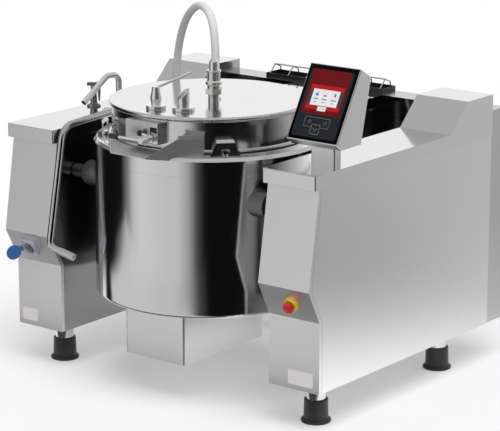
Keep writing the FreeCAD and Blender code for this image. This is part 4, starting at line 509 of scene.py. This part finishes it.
# Areas on the display, as shares of the slab from its top left corner: left, right, top and bottom
PANEL = (0.04, 0.95, 0.045, 0.965)
FIELD = (0.09, 0.89, 0.047, 0.65)
BARS = [(0.147, 0.845, 0.257, 0.320), (0.147, 0.845, 0.530, 0.587)]
STRIPS = [(0.147, 0.222, 0.320, 0.530), (0.773, 0.845, 0.320, 0.530)]
WINDOW = (0.220, 0.775, 0.313, 0.533)
WINDOW_TAB = (0.405, 0.580, 0.543, 0.603)
WATER = (0.286, 0.346, 0.375, 0.401)
POT_BASE = (0.456, 0.510, 0.386, 0.402)
CLOCK_MINUTES = (0.677, 0.706, 0.352, 0.396)
TAB_VALUE = (0.500, 0.556, 0.568, 0.579)
WIDE_KEY = (0.230, 0.745, 0.692, 0.825)
LOWER_KEY = (0.400, 0.580, 0.787, 0.919)
LOWER_KEY_FACE = (0.407, 0.573, 0.792, 0.914)

# Columns of the signs in the window, with half the width, the top and the bottom of what stands in them
COLUMNS = (0.316, 0.483, 0.676)
POT = (0.032, 0.352, 0.404)
VALUE = (0.05, 0.436, 0.452)
UNIT = (0.028, 0.480, 0.491)

# Round signs: their middle as shares and their radius
CLOCK = (0.676, 0.374, 0.0064)
FLAME = (0.316, 0.365, 0.0015)
STIRRER_RING = (0.337, 0.755, 0.0062)
TIMER_RING = (0.657, 0.755, 0.0062)

# Strokes: their middle as shares, their length and width, and their turn in degrees
TICK = [(0.447, 0.576, 0.0032, 0.0014, -45), (0.467, 0.572, 0.0062, 0.0014, 50)]
STIRRER_CROSS = [(0.337, 0.755, 0.0056, 0.0013, 45), (0.337, 0.755, 0.0056, 0.0013, -45)]
TIMER_HAND = [(0.668, 0.745, 0.0042, 0.0013, 60)]
TILT_ARROW = [
    (0.458, 0.846, 0.0072, 0.0018, -50),
    (0.522, 0.846, 0.0072, 0.0018, 50),
    (0.490, 0.874, 0.0080, 0.0018, 90),
]


def display_matrix():
    return facing(DISPLAY_CORNER, DISPLAY_OUT)


def tile(area, layer, corner=0.0, extra=1):
    """Flat patch on the glass, rooted in the layer below."""
    u0, u1, v0, v1 = area
    width, length = (u1 - u0) * SLAB_WIDTH, (v1 - v0) * SLAB_LENGTH
    low = GLASS_THICKNESS + (layer - 1) * INK - INK_ROOT
    high = GLASS_THICKNESS + (layer + extra - 1) * INK
    middle = ((u0 + u1) / 2 * SLAB_WIDTH, -(v0 + v1) / 2 * SLAB_LENGTH, (low + high) / 2)
    piece = cube((width, length, high - low), middle)
    round_upright(piece, corner or 0.0004, 6 if corner > 0.002 else 2)
    return piece


def column_tile(u, size, layer, corner=0.0):
    """Tile in the column at u."""
    half, top, bottom = size
    return tile((u - half, u + half, top, bottom), layer, corner)


def spot(ring, layer, sides=32):
    """Round patch on the glass, rooted in the layer below."""
    u, v, radius = ring
    high = GLASS_THICKNESS + layer * INK
    depth = INK + INK_ROOT
    return disc(radius, depth, (u * SLAB_WIDTH, -v * SLAB_LENGTH, high - depth / 2), sides)


def stroke(u, v, length, width, degrees, layer):
    """Short straight line on the glass, turned about its middle."""
    high = GLASS_THICKNESS + layer * INK
    place = (u * SLAB_WIDTH, -v * SLAB_LENGTH, high - INK / 2)
    piece = cube((length, width, INK), place, math.radians(degrees))
    round_top(piece, INK * 0.4, 1)
    return piece


def strokes(lines, layer):
    return [stroke(*line, layer) for line in lines]


def outlined(piece, width=OUTLINE):
    """Sinks all but a thin rim of the patch below the layer that it lies on."""
    sink_top(piece, width, OUTLINE_DEPTH)
    return piece


def on_display(name, pieces, material):
    piece = placed(joined(name, pieces), display_matrix())
    finished(piece, material, "stand")


def make_display():
    middle = (SLAB_WIDTH / 2, -GLASS_DROP, GLASS_THICKNESS / 2)
    glass = cube((GLASS_WIDTH, GLASS_LENGTH, GLASS_THICKNESS), middle)
    round_upright(glass, 0.003)
    round_top(glass, 0.0004, 2)
    placed(glass, display_matrix())
    glass.name = "display_glass"
    finished(glass, "glass", "stand")
    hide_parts("display_screen")
    on_display("display_panel", [tile(PANEL, 1, 0.009)], "ink_slate")
    on_display("display_field", [tile(FIELD, 2)], "ink_dark_red")
    on_display("display_bars", [tile(bar, 3) for bar in BARS], "ink_red")
    on_display("display_strips", [tile(strip, 3) for strip in STRIPS], "ink_strip")
    on_display("display_window", [tile(WINDOW, 4), tile(WINDOW_TAB, 4)], "ink_white")
    make_window_signs()
    make_keys()


def make_window_signs():
    """Two pots, a clock and the bars that stand for their values."""
    pots = [outlined(column_tile(u, POT, 5, 0.0012), FINE_OUTLINE) for u in COLUMNS[:2]]
    clock = outlined(spot(CLOCK, 5), FINE_OUTLINE)
    values = [column_tile(u, VALUE, 5) for u in COLUMNS]
    units = [column_tile(u, UNIT, 5) for u in COLUMNS]
    on_display("display_signs_grey", pots + [clock] + values + units, "ink_grey")
    on_display("display_sign_water", [tile(WATER, 6, 0.0008)], "ink_blue")
    flame = spot(FLAME, 7, 20)
    base = tile(POT_BASE, 6, 0.0010)
    minutes = tile(CLOCK_MINUTES, 6, 0.0026)
    on_display("display_signs_red", [flame, base, minutes], "ink_red")
    on_display("display_tick", strokes(TICK, 5) + [tile(TAB_VALUE, 5)], "ink_green")


def make_keys():
    """A wide key with the signs of stirrer and timer, and a key below it with an arrow for tilting."""
    wide = outlined(tile(WIDE_KEY, 2, 0.0015))
    lower = outlined(tile(LOWER_KEY, 3, 0.0015))
    cover = tile(LOWER_KEY_FACE, 2, 0.0010, 2)
    on_display("display_key_face", [cover], "ink_slate")
    stirrer = [outlined(spot(STIRRER_RING, 2), FINE_OUTLINE)] + strokes(STIRRER_CROSS, 2)
    timer = [outlined(spot(TIMER_RING, 2), FINE_OUTLINE)] + strokes(TIMER_HAND, 2)
    on_display("display_keys", [wide, lower] + stirrer + timer + strokes(TILT_ARROW, 4), "ink_line")


# Small fasteners

SKIRT_RADIUS = 0.346
SKIRT_SINK = 0.0005
DOME_NUT_SIZE = 0.0065
DOME_NUT_TURN = -125.8
DOME_NUT_HEIGHTS = (0.935, 0.951)
BOSS_RADIUS = 0.0115
BOSS_DEPTH = 0.010
BOSS_TURN = -123.0
BOSS_HEIGHT = 0.972

PIPE_TOP = (0.06475, -0.449, 1.0855)
PIPE_RADIUS = 0.0205
PIPE_SLANT = 41.4
PIPE_TURN = -115.0
PIPE_PLATE = 0.0016

SOCKET_MIDDLE = Vector((-0.58625, -0.5273, 0.45941))
SOCKET_OUT = Vector((0, -0.8883, -0.4592))
SOCKET_SCREW_SPAN = 0.0235
SOCKET_SCREW_RADIUS = 0.0034
SOCKET_SCREW_HEIGHT = 0.0018
SOCKET_SCREW_SINK = 0.0003
# Below this level the ears of the cap's hinge don't reach over the socket's plate
SOCKET_EARS_END = -0.022


def screw_head(radius, height):
    """Pan head with a recess for the driver."""
    head = disc(radius, height, (0, 0, height / 2), 24)
    round_top(head, height * 0.6, 3)
    sink_top(head, radius * 0.25, height * 0.45)
    return head


def dome_nut(size):
    """Hexagon with a dome on it."""
    hexagon = disc(size, size * 0.8, (0, 0, size * 0.4), 6)
    round_top(hexagon, size * 0.08, 1)
    dome = disc(size * 0.78, size * 0.9, (0, 0, size * 1.05), 28)
    round_top(dome, size * 0.70, 5)
    return joined("nut", [hexagon, dome])


def copies(name, model, matrices, material, body):
    """Copies of one model, each with its own mesh, joined under one name."""
    made = []
    for matrix in matrices:
        copy = model.copy()
        copy.data = model.data.copy()
        scene.collection.objects.link(copy)
        made.append(placed(copy, matrix))
    bpy.data.objects.remove(model)
    finished(joined(name, made), material, body)


def on_skirt(degrees, height):
    """Matrix on the lid's skirt, facing out."""
    a = math.radians(degrees)
    out = Vector((math.cos(a), math.sin(a), 0))
    return facing(out * (SKIRT_RADIUS - SKIRT_SINK) + Vector((-MID.x, -MID.y, height)), out)


def make_pipe_plate():
    """Plate that closes the vent pipe's slanted end."""
    slant, turn = math.radians(PIPE_SLANT), math.radians(PIPE_TURN)
    out = Vector((math.cos(turn) * math.sin(slant), math.sin(turn) * math.sin(slant), math.cos(slant)))
    plate = disc(PIPE_RADIUS, PIPE_PLATE, (0, 0, 0), 56)
    plate.scale = (1, 1 / math.cos(slant), 1)
    only(plate)
    bpy.ops.object.transform_apply(scale=True)
    round_top(plate, 0.0004, 2)
    placed(plate, facing(PIPE_TOP, out))
    plate.name = "vent_pipe_plate"
    finished(plate, "lid_steel", "lid")


def make_lid_fasteners():
    """Two dome nuts, one above the other, and a boss on the lid's skirt beside the lock."""
    places = [on_skirt(DOME_NUT_TURN, z) for z in DOME_NUT_HEIGHTS]
    copies("lid_dome_nuts", dome_nut(DOME_NUT_SIZE), places, "chrome", "lid")
    boss = disc(BOSS_RADIUS, BOSS_DEPTH, (0, 0, BOSS_DEPTH / 2), 36)
    round_top(boss, 0.003)
    placed(boss, on_skirt(BOSS_TURN, BOSS_HEIGHT))
    boss.name = "lid_boss"
    finished(boss, "chrome", "lid")


def make_socket_screws():
    """Four screws at the corners of the socket's plate."""
    across = Vector((1, 0, 0))
    up = SOCKET_OUT.cross(across)
    up = up if up.z > 0 else -up
    from_middle = [v.co - SOCKET_MIDDLE for v in nodes["power_socket"].data.vertices]
    face = max(v.dot(SOCKET_OUT) for v in from_middle if v.dot(up) < SOCKET_EARS_END)
    places = []
    for side in (-1, 1):
        for level in (-1, 1):
            place = SOCKET_MIDDLE + across * side * SOCKET_SCREW_SPAN + up * level * SOCKET_SCREW_SPAN
            places.append(facing(place + SOCKET_OUT * (face - SOCKET_SCREW_SINK), SOCKET_OUT))
    model = screw_head(SOCKET_SCREW_RADIUS, SOCKET_SCREW_HEIGHT)
    copies("socket_screws", model, places, "chrome", "stand")


# Floor, light and the studio that gloss shows

# Azimuth in degrees and how light the studio is there, as the metal shows it
STUDIO = [
    (-180, 0.004),
    (-149, 0.004),
    (-140, 0.22),
    (-134, 0.56),
    (-126, 0.70),
    (-112, 0.68),
    (-98, 0.62),
    (-84, 0.61),
    (-74, 0.42),
    (-65, 0.07),
    (-57, 0.004),
    (-6, 0.004),
    (4, 0.05),
    (16, 0.01),
    (34, 0.21),
    (56, 0.54),
    (92, 0.95),
    (128, 1.0),
    (150, 0.95),
    (161, 0.22),
    (172, 0.05),
    (180, 0.004),
]
# Above this band of directions the studio has one even grey
CEILING = (0.30, 0.62)
CEILING_GREY = 0.52

# How light the world and the floor are to the light that falls on things
WORLD_LIT = 0.40
FLOOR_LIT = 0.86

# Shares of the floor's white that the object's shadow dims, and that stays even
SHADOWED = 0.68
EVEN = 0.33

FLOOR_SIZE = 4.4
FLOOR_ROUGHNESS = 0.9

# Zones of the floor as gloss sees it, painted with shade and highlight for the metal to reflect: a pair
# says where an edge fades, in metres from the object's middle
# Near zone: painted grey round the object in place of the studio's ring
NEAR_SIDES = (1.0, 1.3)
NEAR_START = (-0.88, -0.76)
NEAR_END = (0.9, 1.3)
NEAR_GREY = 0.76
# Front zone: painted shade below the object's front and just before it
FRONT_END = (-0.52, -0.30)
FRONT_PAINTED_SHADE = 0.06
# Apron: painted grey before the front zone
APRON_LEFT = (-1.9, -1.5)
APRON_RIGHT = (0.4, 0.7)
APRON_START = (-1.9, -1.6)
APRON_END = (-0.92, -0.80)
APRON_GREY = 0.66
# Strip below the object and beside it: a painted highlight, brighter than white
STRIP_OUTSIDE = (1.0, 2.3)
STRIP_INSIDE = (0.66, 0.70)
STRIP_BELOW = 0.75
STRIP_START = (-0.62, -0.50)
STRIP_END = (-0.3, 1.2)
STRIP_AT_BACK = 0.3
STRIP_PAINTED_HIGHLIGHT = 1.3

LAMP_PLACE = (1, -2, 5)
LAMP_STRENGTH = 1.95
LAMP_ANGLE = 42
LAMP_PITCH = 16
LAMP_ROLL = 22


def background_split(tree, seen, lit, gloss):
    """One colour for what the camera sees, another for the light that falls on things.

    gloss is a socket with the studio round the object, as gloss and glass see it.
    """
    path = tree.nodes.new("ShaderNodeLightPath")
    mirrored = worked(tree, "MAXIMUM", path.outputs["Is Glossy Ray"], path.outputs["Is Transmission Ray"])
    first = tree.nodes.new("ShaderNodeMix")
    first.data_type = "RGBA"
    first.inputs["A"].default_value = (lit, lit, lit, 1)
    tree.links.new(gloss, first.inputs["B"])
    tree.links.new(mirrored, first.inputs["Factor"])
    second = tree.nodes.new("ShaderNodeMix")
    second.data_type = "RGBA"
    second.inputs["B"].default_value = (seen, seen, seen, 1)
    tree.links.new(first.outputs["Result"], second.inputs["A"])
    tree.links.new(path.outputs["Is Camera Ray"], second.inputs["Factor"])
    return second.outputs["Result"]


def ranged(tree, value, start, end, low=0.0, high=1.0):
    """Smooth step of a value from low at start to high at end."""
    step = tree.nodes.new("ShaderNodeMapRange")
    step.interpolation_type = "SMOOTHSTEP"
    step.inputs["From Min"].default_value = start
    step.inputs["From Max"].default_value = end
    step.inputs["To Min"].default_value = low
    step.inputs["To Max"].default_value = high
    tree.links.new(value, step.inputs["Value"])
    return step.outputs["Result"]


def rise(tree, value, edge, low=0.0):
    """From low to one across an edge."""
    return ranged(tree, value, *edge, low, 1.0)


def fall(tree, value, edge, low=0.0):
    """From one to low across an edge."""
    return ranged(tree, value, *edge, 1.0, low)


def worked(tree, operation, first, second=None):
    """One step of arithmetic on one or two sockets."""
    step = tree.nodes.new("ShaderNodeMath")
    step.operation = operation
    tree.links.new(first, step.inputs[0])
    if second:
        tree.links.new(second, step.inputs[1])
    return step.outputs[0]


def product(tree, first, *others):
    for other in others:
        first = worked(tree, "MULTIPLY", first, other)
    return first


def toward(tree, colour, share, grey):
    """Mixes a colour with a grey by a share."""
    mix = tree.nodes.new("ShaderNodeMix")
    mix.data_type = "RGBA"
    mix.inputs["B"].default_value = (grey, grey, grey, 1)
    tree.links.new(colour, mix.inputs["A"])
    tree.links.new(share, mix.inputs["Factor"])
    return mix.outputs["Result"]


def scaled(tree, colour, share):
    step = tree.nodes.new("ShaderNodeVectorMath")
    step.operation = "SCALE"
    step.inputs["Scale"].default_value = share
    tree.links.new(colour, step.inputs[0])
    return step.outputs["Vector"]


def grey_stop(stop, degrees, light):
    stop.position = (degrees + 180) / 360
    stop.color = (light, light, light, 1)


def studio_ring(tree, output):
    """White backdrop behind, softer in front, and black cloth on the right of the camera."""
    where = tree.nodes.new("ShaderNodeTexCoord")
    parts = tree.nodes.new("ShaderNodeSeparateXYZ")
    tree.links.new(where.outputs[output], parts.inputs["Vector"])
    angle = worked(tree, "ARCTAN2", parts.outputs["Y"], parts.outputs["X"])
    share = tree.nodes.new("ShaderNodeMapRange")
    share.inputs["From Min"].default_value = -math.pi
    share.inputs["From Max"].default_value = math.pi
    tree.links.new(angle, share.inputs["Value"])
    ramp = tree.nodes.new("ShaderNodeValToRGB")
    stops = ramp.color_ramp.elements
    grey_stop(stops[0], *STUDIO[0])
    grey_stop(stops[1], *STUDIO[-1])
    for degrees, light in STUDIO[1:-1]:
        grey_stop(stops.new((degrees + 180) / 360), degrees, light)
    tree.links.new(share.outputs["Result"], ramp.inputs["Fac"])
    ceiling = rise(tree, parts.outputs["Z"], CEILING)
    return toward(tree, ramp.outputs["Color"], ceiling, CEILING_GREY), parts


def make_world():
    world = bpy.data.worlds.new("studio")
    world.use_nodes = True
    scene.world = world
    tree = world.node_tree
    back = tree.nodes["Background"]
    ring = studio_ring(tree, "Generated")[0]
    tree.links.new(background_split(tree, 1.0, WORLD_LIT, ring), back.inputs["Color"])


def floor_zones(tree):
    """The floor as gloss sees it, painted with light and shade for the metal to reflect.

    It shows the studio's ring further out and a painted grey close to the object. There it has painted
    shade at the object's front, a painted grey on an apron before that, and a painted highlight brighter
    than white below the object and beside it.
    """
    ring, parts = studio_ring(tree, "Object")
    x, y = parts.outputs["X"], parts.outputs["Y"]
    side = worked(tree, "ABSOLUTE", x)
    near = product(tree, fall(tree, side, NEAR_SIDES), rise(tree, y, NEAR_START), fall(tree, y, NEAR_END))
    shown = toward(tree, ring, near, NEAR_GREY)
    # Painted shade below the object's front
    front = product(tree, near, fall(tree, y, FRONT_END))
    shown = toward(tree, shown, front, FRONT_PAINTED_SHADE)
    apron = product(tree, rise(tree, x, APRON_LEFT), fall(tree, x, APRON_RIGHT),
                    rise(tree, y, APRON_START), fall(tree, y, APRON_END))
    shown = toward(tree, shown, apron, APRON_GREY)
    # Painted highlight below the object and beside it, brighter than white
    strip = product(tree, fall(tree, side, STRIP_OUTSIDE), rise(tree, side, STRIP_INSIDE, STRIP_BELOW),
                    rise(tree, y, STRIP_START), fall(tree, y, STRIP_END, STRIP_AT_BACK))
    return toward(tree, shown, strip, STRIP_PAINTED_HIGHLIGHT)


def make_floor():
    """White paper that keeps the object's shadow."""
    bpy.ops.mesh.primitive_plane_add(size=FLOOR_SIZE, location=(0, 0, 0))
    floor = bpy.context.object
    floor.name = "floor"
    material, tree, shader = new_material("floor_paper")
    shown = floor_zones(tree)
    # Gloss sees the painted zones in both the paper's colour and its glow
    own = background_split(tree, SHADOWED, FLOOR_LIT, scaled(tree, shown, SHADOWED))
    glow = background_split(tree, EVEN, 0.0, scaled(tree, shown, EVEN))
    tree.links.new(own, shader.inputs["Base Color"])
    tree.links.new(glow, shader.inputs["Emission Color"])
    shader.inputs["Emission Strength"].default_value = 1.0
    shader.inputs["Roughness"].default_value = FLOOR_ROUGHNESS
    shader.inputs["Specular IOR Level"].default_value = 0.0
    floor.data.materials.append(material)


def make_light():
    """Large soft lamp, high up in front."""
    bpy.ops.object.light_add(type="SUN", location=LAMP_PLACE)
    light = bpy.context.object
    light.name = "key"
    light.data.energy = LAMP_STRENGTH
    light.data.angle = math.radians(LAMP_ANGLE)
    light.rotation_euler = (math.radians(LAMP_PITCH), math.radians(LAMP_ROLL), 0)
    light.visible_glossy = False


add_camera()
make_hose()
dress_nodes()
hose_clamp("hose_clamp_vent", HOSE_ROUTE[0], HOSE_ROUTE[1])
hose_clamp("hose_clamp_drain", HOSE_ROUTE[-1], HOSE_ROUTE[-2])
make_display()
make_pipe_plate()
make_lid_fasteners()
make_socket_screws()
make_world()
make_floor()
make_light()
